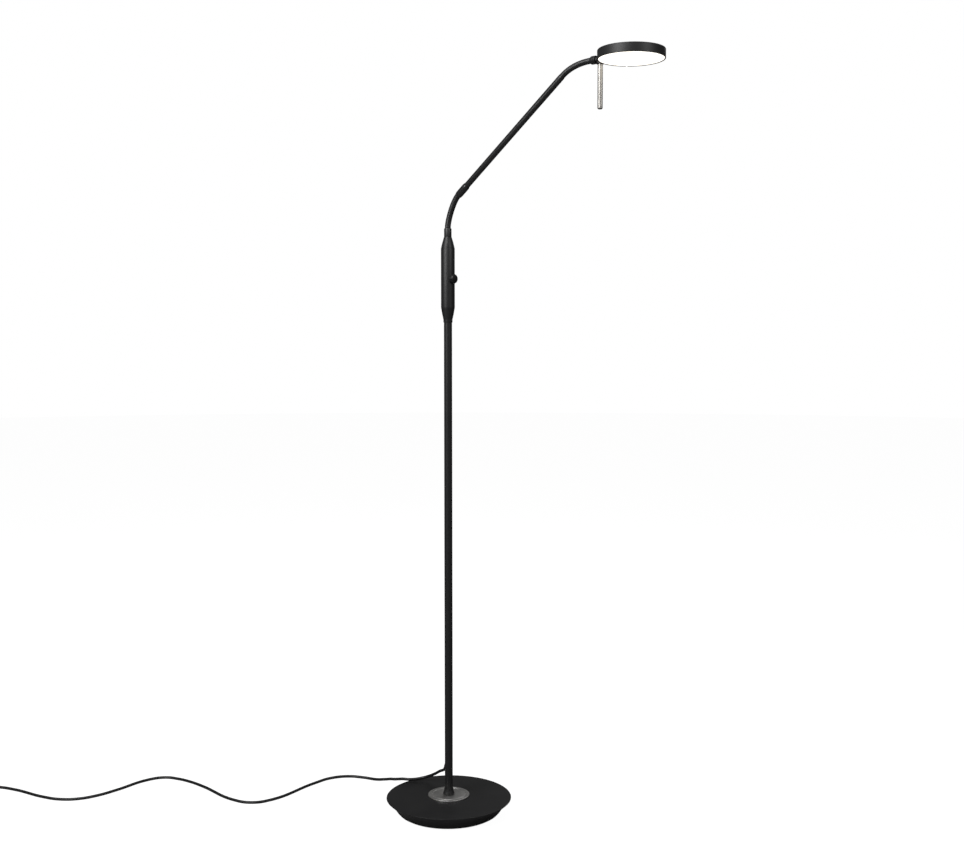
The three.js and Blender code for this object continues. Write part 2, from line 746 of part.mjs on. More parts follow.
// ---- Arm ----

function neckJoiner() {
  const neckBore = NECK_RADIUS + GAP;
  const tubeBore = TUBE_RADIUS + GAP;
  const outer = Math.max(neckBore, tubeBore) + JOINER_WALL;
  const profile = [
    [neckBore, 0],
    [outer - JOINER_CHAMFER.width, 0],
    [outer, JOINER_CHAMFER.length],
    [outer, JOINER_LENGTH - JOINER_CHAMFER.length],
    [outer - JOINER_CHAMFER.width, JOINER_LENGTH],
    [tubeBore, JOINER_LENGTH],
    [tubeBore, JOINER_HOLD + GAP / 2],
    [neckBore, JOINER_HOLD + GAP / 2],
  ];
  const sleeve = aimed(turnedRing(profile, 32), armDirection(ARM_SLOPE), armAxis(0));
  return piece("neck_joiner", sleeve, blackPaint());
}

function armTube() {
  const profile = [
    [TUBE_RADIUS - TUBE_WALL, TUBE_START],
    [TUBE_RADIUS, TUBE_START],
    [TUBE_RADIUS, TUBE_START + TUBE_LENGTH],
    [TUBE_RADIUS - TUBE_WALL, TUBE_START + TUBE_LENGTH],
  ];
  const tube = aimed(turnedRing(profile, 32), armDirection(ARM_SLOPE), armAxis(0));
  return piece("arm_tube", tube, blackPaint());
}

// ---- Head ----

/** A point of the head's mounting line, `along` level from the collar's start. */
function headLine(along, rise = 0) {
  return fromUpperNeck(UPPER_NECK_RUN + along, UPPER_NECK_RISE + rise);
}

function headCollar() {
  const neckBore = UPPER_NECK_RADIUS + GAP;
  const stubBore = KNUCKLE_STUB_RADIUS + RUNNING_GAP;
  const outer = Math.max(neckBore, stubBore) + COLLAR_WALL;
  const profile = [
    [neckBore, 0],
    [outer - 1, 0],
    [outer, 1.6],
    [outer, COLLAR_LENGTH - 0.5],
    [outer - 0.5, COLLAR_LENGTH],
    [stubBore, COLLAR_LENGTH],
    [stubBore, COLLAR_HOLD + GAP / 2],
    [neckBore, COLLAR_HOLD + GAP / 2],
  ];
  const ring = aimed(turnedRing(profile, 32), armDirection(0), headLine(0));
  return piece("head_collar", ring, blackPaint());
}

const HEAD_AXIS = HANDLE_REACH + HANDLE_STANDOFF + HEAD_RADIUS;

/** Moves a solid made about the head's axis, with z = 0 at the open rim, into place. */
function onHead(geometry) {
  const rim = headLine(HEAD_AXIS, -HEAD_DROP);
  return geometry.rotateZ(radians(ARM_AZIMUTH)).translate(rim.x, rim.y, rim.z);
}

function screwHole(from, to, radius) {
  return aimed(
    cylinder(radius, from, to, 20),
    armDirection(0),
    headLine(HEAD_AXIS - HEAD_RADIUS, 0),
  );
}

function headKnuckle() {
  const handleTop = headLine(HANDLE_REACH, -HEAD_DROP + GAP);
  const post = cylinder(KNUCKLE_RADIUS, GAP, HEAD_HEIGHT - 1.2, 32).translate(
    handleTop.x,
    handleTop.y,
    handleTop.z,
  );
  const stub = aimed(
    cylinder(KNUCKLE_STUB_RADIUS, COLLAR_HOLD + GAP, HANDLE_REACH, 24),
    armDirection(0),
    headLine(0),
  );
  const web = new THREE.BoxGeometry(2 * HANDLE_STANDOFF, 2 * KNUCKLE_RADIUS - 2, HEAD_HEIGHT - 4);
  const webPlace = headLine(HANDLE_REACH + HANDLE_STANDOFF, HEAD_HEIGHT / 2 - HEAD_DROP);
  web.rotateZ(radians(ARM_AZIMUTH)).translate(webPlace.x, webPlace.y, webPlace.z);
  const drum = onHead(cylinder(HEAD_RADIUS + GAP, -5, HEAD_HEIGHT + 5, 72));
  const hole = screwHole(-SCREW_LENGTH, 2, SCREW_RADIUS + GAP);
  const socket = cylinder(HANDLE_SPIGOT.radius + GAP, -1, HANDLE_SPIGOT.length + 2 * GAP, 20).translate(
    handleTop.x,
    handleTop.y,
    handleTop.z,
  );
  return piece("head_knuckle", cut(joined(post, stub, web), drum, hole, socket), blackPaint());
}

function headShell() {
  const top = HEAD_HEIGHT;
  const inner = HEAD_RADIUS - HEAD_WALL;
  const profile = [
    [0, top - HEAD_WALL],
    [inner, top - HEAD_WALL],
    [inner, 0],
    [HEAD_RADIUS - 0.3, 0],
    [HEAD_RADIUS, 0.4],
    [HEAD_RADIUS, top - HEAD_EDGE],
    [HEAD_RADIUS - HEAD_EDGE * 0.3, top - HEAD_EDGE * 0.3],
    [HEAD_RADIUS - HEAD_EDGE, top],
    [0, top],
  ];
  const shell = onHead(turned(profile, 72));
  const notch = new THREE.BoxGeometry(PRY_NOTCH.width, 2 * HEAD_WALL, 2 * PRY_NOTCH.depth);
  notch.translate(0, HEAD_RADIUS, 0);
  const rim = headLine(HEAD_AXIS, -HEAD_DROP);
  notch.translate(rim.x, rim.y, rim.z);
  const hole = screwHole(-2, HEAD_WALL + 2, SCREW_RADIUS + GAP);
  return piece("head_shell", cut(shell, notch, hole), blackPaint());
}

/** A plain disc inside the head, `from` above the open rim. */
function headDisc(name, radius, from, thickness, material) {
  const disc = onHead(cylinder(radius, from, from + thickness, 64));
  return piece(name, disc, material);
}

function headInside() {
  const bore = HEAD_RADIUS - HEAD_WALL - GAP;
  const guideRadius = bore - SCREW_HEAD_HEIGHT - GUIDE_MARGIN;
  const guide = GAP + DIFFUSER_THICKNESS + GAP;
  const reflector = guide + GUIDE_THICKNESS + GAP;
  const board = HEAD_HEIGHT - HEAD_WALL - GAP - LED_BOARD_THICKNESS;
  return [
    headDisc("head_diffuser", bore, GAP, DIFFUSER_THICKNESS, opalPlastic()),
    headDisc("light_guide", guideRadius, guide, GUIDE_THICKNESS, clearPlastic()),
    headDisc("back_reflector", guideRadius, reflector, REFLECTOR_THICKNESS, whiteSheet()),
    headDisc("led_board", bore - 1.5, board, LED_BOARD_THICKNESS, circuitBoard()),
  ];
}

function headScrew() {
  const inner = HEAD_WALL + GAP;
  const shaft = screwHole(-SCREW_LENGTH + GAP, inner + 1, SCREW_RADIUS);
  const head = screwHole(inner, inner + SCREW_HEAD_HEIGHT, SCREW_HEAD_RADIUS);
  return piece("head_screw", joined(shaft, head), zincSteel());
}

function handleRod() {
  const top = headLine(HANDLE_REACH, -HEAD_DROP + GAP);
  const { radius, length } = HANDLE_SPIGOT;
  const profile = [
    [0, -HANDLE_LENGTH],
    [HANDLE_RADIUS * 0.5, -HANDLE_LENGTH],
    [HANDLE_RADIUS * 0.86, -HANDLE_LENGTH + 0.8],
    [HANDLE_RADIUS, -HANDLE_LENGTH + 2.2],
    [HANDLE_RADIUS, 0],
    [radius, 0],
    [radius, length],
    [0, length],
  ];
  const rod = turned(profile, 32).translate(top.x, top.y, top.z);
  return piece("handle_rod", rod, satinNickel());
}

// ---- Mains lead and plug ----

function cordCurve(points) {
  return new THREE.CatmullRomCurve3(
    points.map(([x, y, z]) => new THREE.Vector3(x, y, z)),
    false,
    "centripetal",
  );
}

function cordLead() {
  const start = glandRoot().addScaledVector(glandDirection(), POLE_RADIUS + GLAND_LENGTH + GAP);
  const next = start.clone().addScaledVector(glandDirection(), 6);
  const route = [start.toArray(), next.toArray(), ...LEAD_ROUTE];
  const lead = swept(cordCurve(route), CORD_RADIUS, { sides: 8, steps: 80 });
  return piece("cord_lead", lead, pvcCord());
}

function cordCoil() {
  const inner = COIL_RADIUS - COIL_BAND / 2;
  const outer = COIL_RADIUS + COIL_BAND / 2;
  const bottom = CORD_FLOOR_Z - CORD_RADIUS;
  const corner = CORD_RADIUS * 0.8;
  const profile = [
    [inner + corner, bottom],
    [outer - corner, bottom],
    [outer, bottom + corner],
    [outer, COIL_BAND - corner],
    [outer - corner, COIL_BAND],
    [inner + corner, COIL_BAND],
    [inner, COIL_BAND - corner],
    [inner, bottom + corner],
  ];
  const coil = turnedRing(profile, 40).translate(COIL_CENTRE.x, COIL_CENTRE.y, 0);
  return piece("cord_coil", coil, pvcCord());
}

function cordTail() {
  const body = swept(cordCurve(TAIL_ROUTE), CORD_RADIUS, { sides: 8, steps: 6 });
  return piece("cord_tail", body, pvcCord());
}

/** The tie is a band round the wound turns, on the side away from the lead. */
function cordTie() {
  const wall = 1.1;
  const half = COIL_BAND / 2;
  const inner = new THREE.BoxGeometry(COIL_BAND + 2 * GAP, 6, COIL_BAND + 2 * GAP);
  const outer = new THREE.BoxGeometry(
    COIL_BAND + 2 * (GAP + wall),
    4,
    COIL_BAND + GAP + wall,
  ).translate(0, 0, (GAP + wall) / 2);
  const band = cut(outer.translate(0, 0, half), inner.translate(0, 0, half));
  band.rotateZ(-Math.PI / 2);
  band.translate(COIL_CENTRE.x, COIL_CENTRE.y - COIL_RADIUS, 0);
  return piece("cord_tie", band, blackPlastic());
}

function plugBody() {
  const { width, length, height } = PLUG_SIZE;
  const neck = CORD_RADIUS + 2.2;
  const outline = new THREE.Shape();
  outline.moveTo(-width / 2 + 3, -length / 2);
  outline.lineTo(width / 2 - 3, -length / 2);
  outline.lineTo(width / 2, -length / 2 + 4);
  outline.lineTo(width / 2 - 1, length * 0.12);
  outline.lineTo(neck + 2, length * 0.42);
  outline.lineTo(neck, length / 2);
  outline.lineTo(-neck, length / 2);
  outline.lineTo(-neck - 2, length * 0.42);
  outline.lineTo(-width / 2 + 1, length * 0.12);
  outline.lineTo(-width / 2, -length / 2 + 4);
  outline.closePath();
  const slab = new THREE.ExtrudeGeometry(outline, {
    depth: height - 3,
    bevelThickness: 1.5,
    bevelSize: 1,
    bevelOffset: -1,
    bevelSegments: 2,
    curveSegments: 2,
  }).translate(PLUG_CENTRE.x, PLUG_CENTRE.y, 1.5);
  const pins = [-1, 1].map((side) => pinSolid(side, PLUG_PIN.radius + GAP, PLUG_PIN.root));
  return piece("plug_body", cut(slab, ...pins), blackPlastic());
}

/** A round pin of the plug, `root` of it inside the body. */
function pinSolid(side, radius, root) {
  const face = PLUG_CENTRE.y - PLUG_SIZE.length / 2;
  return aimed(
    cylinder(radius, -root, PLUG_PIN.length, 20),
    new THREE.Vector3(0, -1, 0),
    new THREE.Vector3(PLUG_CENTRE.x + (side * PLUG_PIN.spacing) / 2, face, PLUG_SIZE.height / 2),
  );
}

function plugPins() {
  return [-1, 1].map((side, i) =>
    piece("plug_pin_" + (i + 1), pinSolid(side, PLUG_PIN.radius, PLUG_PIN.root - GAP), satinNickel()),
  );
}

// ---- The lamp ----

const lamp = new THREE.Group();
lamp.name = "pharmacy_floor_lamp";
lamp.add(baseCover(), baseWeight(), basePad(), baseRosette(), boltWasher(), baseBolt());
lamp.add(poleTube(), poleBushing(), footCollar(), cordGland());
lamp.add(dimmerHousing(), housingCap(), dimmerPot(), dimmerBoard(), dimmerKnob());
lamp.add(swivelStem(), swivelClip());
lamp.add(...lowerNeck(), neckJoiner(), armTube(), ...upperNeck());
lamp.add(headCollar(), headKnuckle(), headShell(), ...headInside(), headScrew(), handleRod());
lamp.add(cordLead(), cordCoil(), cordTail(), cordTie(), plugBody(), ...plugPins());

export default lamp;
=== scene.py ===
"""A pharmacy reading floor lamp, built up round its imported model.

Metres, +Z up, with the origin on the floor under the pole's axis. The arm leaves the pole in an
upright plane that turns with the swivel, and the lead leaves it at the back.
"""

import json
import logging
import math
from collections.abc import Callable, Iterable, Sequence
from dataclasses import dataclass, field
from enum import Enum

import bpy
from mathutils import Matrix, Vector
from mathutils.geometry import interpolate_bezier


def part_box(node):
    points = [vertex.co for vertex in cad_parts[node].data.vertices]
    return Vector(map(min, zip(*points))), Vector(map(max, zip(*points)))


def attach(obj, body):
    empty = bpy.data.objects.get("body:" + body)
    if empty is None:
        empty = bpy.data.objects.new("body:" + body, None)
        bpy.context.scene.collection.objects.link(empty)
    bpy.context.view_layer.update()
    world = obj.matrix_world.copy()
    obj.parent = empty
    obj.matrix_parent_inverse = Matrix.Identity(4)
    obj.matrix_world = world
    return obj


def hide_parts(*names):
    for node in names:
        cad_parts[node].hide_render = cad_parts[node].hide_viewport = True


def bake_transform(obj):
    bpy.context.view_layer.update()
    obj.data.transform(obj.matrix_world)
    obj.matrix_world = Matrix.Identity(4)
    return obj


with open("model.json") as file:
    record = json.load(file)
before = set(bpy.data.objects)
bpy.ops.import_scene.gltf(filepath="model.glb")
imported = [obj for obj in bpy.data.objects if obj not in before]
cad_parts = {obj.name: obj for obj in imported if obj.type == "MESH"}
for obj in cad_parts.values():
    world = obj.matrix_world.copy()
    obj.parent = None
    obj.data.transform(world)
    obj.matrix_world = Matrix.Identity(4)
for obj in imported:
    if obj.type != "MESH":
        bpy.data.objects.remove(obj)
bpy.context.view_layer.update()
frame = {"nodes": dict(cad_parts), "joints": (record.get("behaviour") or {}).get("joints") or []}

logging.basicConfig(level=logging.INFO, format="%(name)s: %(message)s")
log = logging.getLogger("floor_lamp")

Outline = list[tuple[float, float]]
Colour = tuple[float, float, float]
Piece = bpy.types.Object
Material = bpy.types.Material
Socket = bpy.types.NodeSocket

GAP = 0.0003  # between faces that touch on the real lamp
MERGE = 1e-6  # points closer than this are one
UP = Vector((0, 0, 1))
TOWARDS_PRONGS = Vector((0, -1, 0))
BREAK = 0.0003  # an edge as it is usually broken
QUARTER_TURN = math.pi / 2
NOISE_LOW, NOISE_HIGH = 0.3, 0.7  # most of a noise's greys lie between these
SQUARE_ON = 0.9  # a face's normal along an axis, above which the face is square to it


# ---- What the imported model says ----


def joint(name: str) -> dict:
    """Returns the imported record's row of one joint."""
    return next(row for row in frame["joints"] if row["name"] == name)


def joint_place(name: str) -> Vector:
    """Returns the point that a joint turns about."""
    return Vector(joint(name)["pos_m"])


def joint_axis(name: str) -> Vector:
    """Returns the direction of a joint's axis."""
    return Vector(joint(name)["axis"])


def span(node: str) -> tuple[float, float]:
    """Returns the lowest and the highest height of a node."""
    low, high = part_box(node)
    return low.z, high.z


# ---- Bench work ----


def clear_bench() -> None:
    """Leaves object mode on and nothing selected."""
    if bpy.context.object and bpy.context.object.mode != "OBJECT":
        bpy.ops.object.mode_set(mode="OBJECT")
    bpy.ops.object.select_all(action="DESELECT")


def take(obj: Piece) -> None:
    """Makes one object the only one selected, and the active one."""
    clear_bench()
    obj.select_set(True)
    bpy.context.view_layer.objects.active = obj


def modify(obj: Piece, kind: str, **settings: object) -> None:
    """Adds a modifier and applies it.

    Args:
        obj: The piece.
        kind: The modifier's type.
        **settings: Its settings by name.
    """
    take(obj)
    modifier = obj.modifiers.new(kind, kind)
    for key, value in settings.items():
        setattr(modifier, key, value)
    bpy.ops.object.modifier_apply(modifier=modifier.name)


def set_down(obj: Piece) -> None:
    """Writes an object's place, turn and size into its mesh."""
    take(obj)
    bpy.ops.object.transform_apply(location=True, rotation=True, scale=True)


def ease_edges(obj: Piece, width: float, steps: int = 2, over: float = 32) -> None:
    """Rounds the edges that turn more than an angle.

    Args:
        obj: The piece.
        width: How wide the rounding is.
        steps: Faces across the rounding.
        over: The angle in degrees.
    """
    modify(
        obj,
        "BEVEL",
        width=width,
        segments=steps,
        limit_method="ANGLE",
        angle_limit=math.radians(over),
        use_clamp_overlap=True,
    )


def unite(obj: Piece, *others: Piece) -> None:
    """Joins other solids to a piece, and removes them."""
    for other in others:
        modify(obj, "BOOLEAN", operation="UNION", solver="EXACT", object=other)
        bpy.data.objects.remove(other)


def cut(obj: Piece, *tools: Piece) -> None:
    """Cuts solids out of a piece, and removes them."""
    for tool in tools:
        modify(obj, "BOOLEAN", operation="DIFFERENCE", solver="EXACT", object=tool)
        bpy.data.objects.remove(tool)


def lathe(name: str, outline: Outline, sides: int = 64) -> Piece:
    """Turns a closed solid about +Z.

    Args:
        name: The piece's name.
        outline: (radius, height) points, which start and end on the axis or go round a wall.
        sides: Steps round the axis.

    Returns:
        The turned piece.
    """
    points = outline if outline[0][0] < MERGE else [*outline, outline[0]]
    clear_bench()
    bpy.ops.mesh.primitive_plane_add(size=GAP)
    obj = bpy.context.object
    obj.name = obj.data.name = name
    bpy.ops.object.mode_set(mode="EDIT")
    bpy.ops.mesh.merge(type="CENTER")
    bpy.ops.transform.translate(value=(points[0][0], 0, points[0][1]))
    for (radius, height), (next_radius, next_height) in zip(points, points[1:]):
        step = (next_radius - radius, 0, next_height - height)
        bpy.ops.mesh.extrude_region_move(TRANSFORM_OT_translate={"value": step})
    bpy.ops.mesh.select_all(action="SELECT")
    bpy.ops.mesh.spin(steps=sides, angle=math.tau, center=(0, 0, 0), axis=(0, 0, 1))
    bpy.ops.mesh.select_all(action="SELECT")
    bpy.ops.mesh.remove_doubles(threshold=MERGE)
    bpy.ops.mesh.normals_make_consistent(inside=False)
    bpy.ops.object.mode_set(mode="OBJECT")
    return obj


def bar(name: str, radius: float, start: float, end: float, sides: int = 48) -> Piece:
    """Turns a plain round bar, which other pieces are cut with or joined to."""
    return lathe(name, [(0, start), (radius, start), (radius, end), (0, end)], sides)


def aim(obj: Piece, direction: Vector, place: Vector) -> Piece:
    """Lays a piece that was made along +Z along a direction.

    Args:
        obj: The piece.
        direction: Where +Z goes.
        place: Where the origin goes.

    Returns:
        The same piece.
    """
    obj.rotation_mode = "QUATERNION"
    obj.rotation_quaternion = UP.rotation_difference(direction)
    obj.location = place
    set_down(obj)
    return obj


def block(name: str, size: Sequence[float], place: Sequence[float]) -> Piece:
    """Adds a rectangular blank.

    Args:
        name: The piece's name.
        size: Its width, depth and height.
        place: Its middle.

    Returns:
        The blank.
    """
    clear_bench()
    bpy.ops.mesh.primitive_cube_add(size=1, location=place, scale=size)
    obj = bpy.context.object
    obj.name = obj.data.name = name
    set_down(obj)
    return obj


def select_faces(obj: Piece, test: Callable[[bpy.types.MeshPolygon], bool]) -> None:
    """Selects the faces of a mesh that pass a test, with edit mode on.

    Args:
        obj: The piece, which is in edit mode.
        test: Takes a face and says whether it is selected.
    """
    bpy.ops.mesh.select_all(action="DESELECT")
    bpy.ops.object.mode_set(mode="OBJECT")
    for face in obj.data.polygons:
        face.select = test(face)
    bpy.ops.object.mode_set(mode="EDIT")


# ---- Finishes ----


class Slot(Enum):
    """The record's material slots."""

    PAINT = "black_powder_coat"
    HEAD = "head_aluminium"
    NICKEL = "satin_nickel"
    ZINC = "zinc_steel"
    IRON = "cast_iron"
    PAD = "foot_pad"
    SHEATH = "neck_sheath"
    PLASTIC = "black_plastic"
    DIAL = "knob_plastic"
    BOARD = "circuit_board"
    OPAL = "opal_diffuser"
    ACRYLIC = "clear_acrylic"
    SHEET = "white_sheet"
    CORD = "cord_pvc"
    PIN = "plug_pin"


class Brushing(Enum):
    """Which way a polishing belt or a lathe ran over a metal."""

    ALONG_Z = "along"
    ROUND_Z = "round"


class Recipe:
    """A material's node tree, with short calls for the nodes that the finishes share."""

    def __init__(self, name: str) -> None:
        """Makes an empty material with one shader.

        Args:
            name: The material's name.
        """
        self.material = bpy.data.materials.new(name)
        self.material.use_nodes = True
        self.tree = self.material.node_tree
        self.shader = self.tree.nodes["Principled BSDF"]

    def node(
        self, kind: str, values: dict[str, object] | None = None, **settings: object
    ) -> bpy.types.Node:
        """Adds a node.

        Args:
            kind: The node's type, without the ShaderNode at its front.
            values: What its own sockets are set to, by name.
            **settings: Its settings by name.

        Returns:
            The node.
        """
        made = self.tree.nodes.new("ShaderNode" + kind)
        for key, value in settings.items():
            setattr(made, key, value)
        for key, value in (values or {}).items():
            made.inputs[key].default_value = value
        return made

    def link(self, start: Socket, end: Socket) -> None:
        """Links an output to an input."""
        self.tree.links.new(start, end)

    def set(self, **values: object) -> None:
        """Sets the shader's own sockets; an underscore stands for a space in a name."""
        for key, value in values.items():
            self.shader.inputs[key.replace("_", " ")].default_value = value

    def place(
        self, scale: Sequence[float] = (1, 1, 1), centre: Sequence[float] = (0, 0, 0)
    ) -> Socket:
        """Returns object coordinates, centred and stretched."""
        source = self.node("TexCoord")
        moved = [-c * s for c, s in zip(centre, scale)]
        shift = self.node("Mapping", {"Location": moved, "Scale": scale}, vector_type="POINT")
        self.link(source.outputs["Object"], shift.inputs["Vector"])
        return shift.outputs["Vector"]

    def noise(self, scale: float, detail: float = 2, at: Socket | None = None) -> Socket:
        """Adds noise.

        Args:
            scale: Lumps to a metre.
            detail: How many finer layers it has.
            at: The coordinates, or none for plain object coordinates.

        Returns:
            Its grey output.
        """
        made = self.node("TexNoise", {"Scale": scale, "Detail": detail})
        self.link(at or self.place(), made.inputs["Vector"])
        return made.outputs["Fac"]

    def between(self, value: Socket, low: float, high: float) -> Socket:
        """Stretches a grey output's middle range to two numbers.

        Args:
            value: The grey output.
            low: What its dark places give.
            high: What its light places give.

        Returns:
            The stretched output.
        """
        ends = {"From Min": NOISE_LOW, "From Max": NOISE_HIGH, "To Min": low, "To Max": high}
        made = self.node("MapRange", ends)
        self.link(value, made.inputs["Value"])
        return made.outputs["Result"]

    def tint(self, value: Socket, dark: Colour, light: Colour) -> Socket:
        """Runs a grey output between two colours, and returns the colour."""
        made = self.node("ValToRGB")
        made.color_ramp.elements[0].position = NOISE_LOW
        made.color_ramp.elements[0].color = (*dark, 1)
        made.color_ramp.elements[1].position = NOISE_HIGH
        made.color_ramp.elements[1].color = (*light, 1)
        self.link(value, made.inputs["Fac"])
        return made.outputs["Color"]

    def colour(self, value: Socket, dark: Colour, light: Colour) -> None:
        """Gives the shader a base colour that runs between two."""
        self.link(self.tint(value, dark, light), self.shader.inputs["Base Color"])

    def roughness(self, value: Socket, low: float, high: float) -> None:
        """Gives the shader a roughness that runs between two numbers."""
        self.link(self.between(value, low, high), self.shader.inputs["Roughness"])

    def relief(self, *layers: tuple[Socket, float]) -> None:
        """Stands fine relief on the surface.

        Args:
            *layers: Pairs of a grey output and how high its light places stand.
        """
        before = None
        for height, distance in layers:
            bump = self.node("Bump", {"Strength": 1, "Distance": distance})
            self.link(height, bump.inputs["Height"])
            if before:
                self.link(before, bump.inputs["Normal"])
            before = bump.outputs["Normal"]
        self.link(before, self.shader.inputs["Normal"])


@dataclass(frozen=True)
class PowderCoat:
    """Matt black baked powder: fine orange peel with a few dust specks."""

    name: str = "black_powder"
    dark: Colour = (0.0085, 0.0085, 0.009)
    light: Colour = (0.0125, 0.0125, 0.013)
    smooth: float = 0.42
    rough: float = 0.5
    peel: float = 1300  # lumps to a metre
    peel_height: float = 0.000018
    sheen: float = 0.42  # how much it reflects

    def material(self) -> Material:
        """Returns the finished material."""
        recipe = Recipe(self.name)
        peel = recipe.noise(self.peel, 2)
        grain = recipe.noise(self.peel * 3.4, 1)
        cloud = recipe.noise(24, 3)
        recipe.colour(cloud, self.dark, self.light)
        recipe.roughness(peel, self.smooth, self.rough)
        recipe.relief((peel, self.peel_height), (grain, self.peel_height * 0.35))
        recipe.set(Specular_IOR_Level=self.sheen)
        return recipe.material


@dataclass(frozen=True)
class BrushedMetal:
    """Plated metal with the fine lines of a belt or a lathe, and faint stains."""

    name: str
    dark: Colour
    light: Colour
    smooth: float
    rough: float
    brushing: Brushing = Brushing.ALONG_Z
    centre: tuple[float, float, float] = (0, 0, 0)
    lines: float = 5200  # to a metre
    line_height: float = 0.000006

    def material(self) -> Material:
        """Returns the finished material."""
        recipe = Recipe(self.name)
        if self.brushing is Brushing.ROUND_Z:
            values = {"Scale": self.lines / 20, "Distortion": 1.6, "Detail": 3, "Detail Scale": 2}
            rings = recipe.node("TexWave", values, wave_type="RINGS", rings_direction="Z")
            recipe.link(recipe.place(centre=self.centre), rings.inputs["Vector"])
            lines = rings.outputs["Fac"]
        else:
            lines = recipe.noise(1, 3, recipe.place((self.lines, self.lines, 55), self.centre))
        stain = recipe.noise(85, 4)
        recipe.colour(stain, self.dark, self.light)
        recipe.roughness(lines, self.smooth, self.rough)
        recipe.relief((lines, self.line_height))
        recipe.set(Metallic=1)
        return recipe.material


@dataclass(frozen=True)
class CastMetal:
    """Sand-cast iron under a thin black wash."""

    name: str = "cast_weight"
    dark: Colour = (0.018, 0.018, 0.019)
    light: Colour = (0.05, 0.048, 0.046)

    def material(self) -> Material:
        """Returns the finished material."""
        recipe = Recipe(self.name)
        sand = recipe.noise(900, 4)
        lump = recipe.noise(110, 3)
        recipe.colour(lump, self.dark, self.light)
        recipe.roughness(sand, 0.68, 0.9)
        recipe.relief((lump, 0.0004), (sand, 0.00018))
        recipe.set(Metallic=0.6)
        return recipe.material


@dataclass(frozen=True)
class Moulding:
    """Moulded plastic or rubber with the fine grain of its mould."""

    name: str
    dark: Colour
    light: Colour
    smooth: float
    rough: float
    grain: float = 2400  # lumps to a metre
    grain_height: float = 0.00002
    sheen: float = 0.5

    def material(self) -> Material:
        """Returns the finished material."""
        recipe = Recipe(self.name)
        grain = recipe.noise(self.grain, 2)
        handled = recipe.noise(60, 4)
        recipe.colour(handled, self.dark, self.light)
        recipe.roughness(handled, self.smooth, self.rough)
        recipe.relief((grain, self.grain_height))
        recipe.set(Specular_IOR_Level=self.sheen)
        return recipe.material


@dataclass(frozen=True)
class FoamPad:
    """A dense black foam pad with open cells and short nap."""

    name: str = "foam_pad"
    dark: Colour = (0.008, 0.008, 0.008)
    light: Colour = (0.022, 0.022, 0.023)

    def material(self) -> Material:
        """Returns the finished material."""
        recipe = Recipe(self.name)
        cells = recipe.node("TexVoronoi", {"Scale": 1500}, feature="F1")
        recipe.link(recipe.place(), cells.inputs["Vector"])
        nap = recipe.noise(600, 5)
        recipe.colour(nap, self.dark, self.light)
        recipe.roughness(nap, 0.88, 0.98)
        recipe.relief((cells.outputs["Distance"], 0.00025), (nap, 0.0001))
        recipe.set(Sheen_Weight=0.25, Sheen_Roughness=0.5, Specular_IOR_Level=0.2)
        return recipe.material


@dataclass(frozen=True)
class LitOpal:
    """The opal disc with the lamp on: warm white light, a little even cloud in the plastic."""

    name: str = "lit_opal"
    edge: Colour = (1.0, 0.925, 0.80)
    heart: Colour = (1.0, 0.96, 0.885)
    strength: float = 1.6

    def material(self) -> Material:
        """Returns the finished material."""
        recipe = Recipe(self.name)
        cloud = recipe.noise(36, 3)
        grain = recipe.noise(2600, 1)
        recipe.colour(cloud, (0.86, 0.85, 0.82), (0.92, 0.91, 0.89))
        recipe.roughness(grain, 0.34, 0.46)
        glow = recipe.tint(cloud, self.edge, self.heart)
        recipe.link(glow, recipe.shader.inputs["Emission Color"])
        recipe.relief((grain, 0.00001))
        recipe.set(Emission_Strength=self.strength)
        return recipe.material


@dataclass(frozen=True)
class ClearGuide:
    """Clear acrylic with a grid of printed dots that let the light out."""

    name: str = "dotted_acrylic"
    pitch: float = 420  # dots to a metre

    def material(self) -> Material:
        """Returns the finished material."""
        recipe = Recipe(self.name)
        dots = recipe.node("TexVoronoi", {"Scale": self.pitch, "Randomness": 0}, feature="F1")
        recipe.link(recipe.place(), dots.inputs["Vector"])
        recipe.colour(dots.outputs["Distance"], (0.9, 0.93, 0.94), (0.72, 0.8, 0.84))
        recipe.roughness(dots.outputs["Distance"], 0.5, 0.06)
        recipe.set(Transmission_Weight=0.7, IOR=1.49)
        return recipe.material


@dataclass(frozen=True)
class CircuitBoard:
    """Green solder mask over copper tracks."""

    name: str = "solder_mask"
    dark: Colour = (0.008, 0.07, 0.03)
    light: Colour = (0.02, 0.16, 0.07)

    def material(self) -> Material:
        """Returns the finished material."""
        recipe = Recipe(self.name)
        tracks = recipe.node("TexBrick", {"Scale": 120, "Mortar Size": 0.03})
        recipe.link(recipe.place(), tracks.inputs["Vector"])
        cloud = recipe.noise(300, 2)
        recipe.colour(tracks.outputs["Fac"], self.dark, self.light)
        recipe.roughness(cloud, 0.3, 0.42)
        recipe.relief((tracks.outputs["Fac"], 0.00004))
        recipe.set(Coat_Weight=0.3)
        return recipe.material


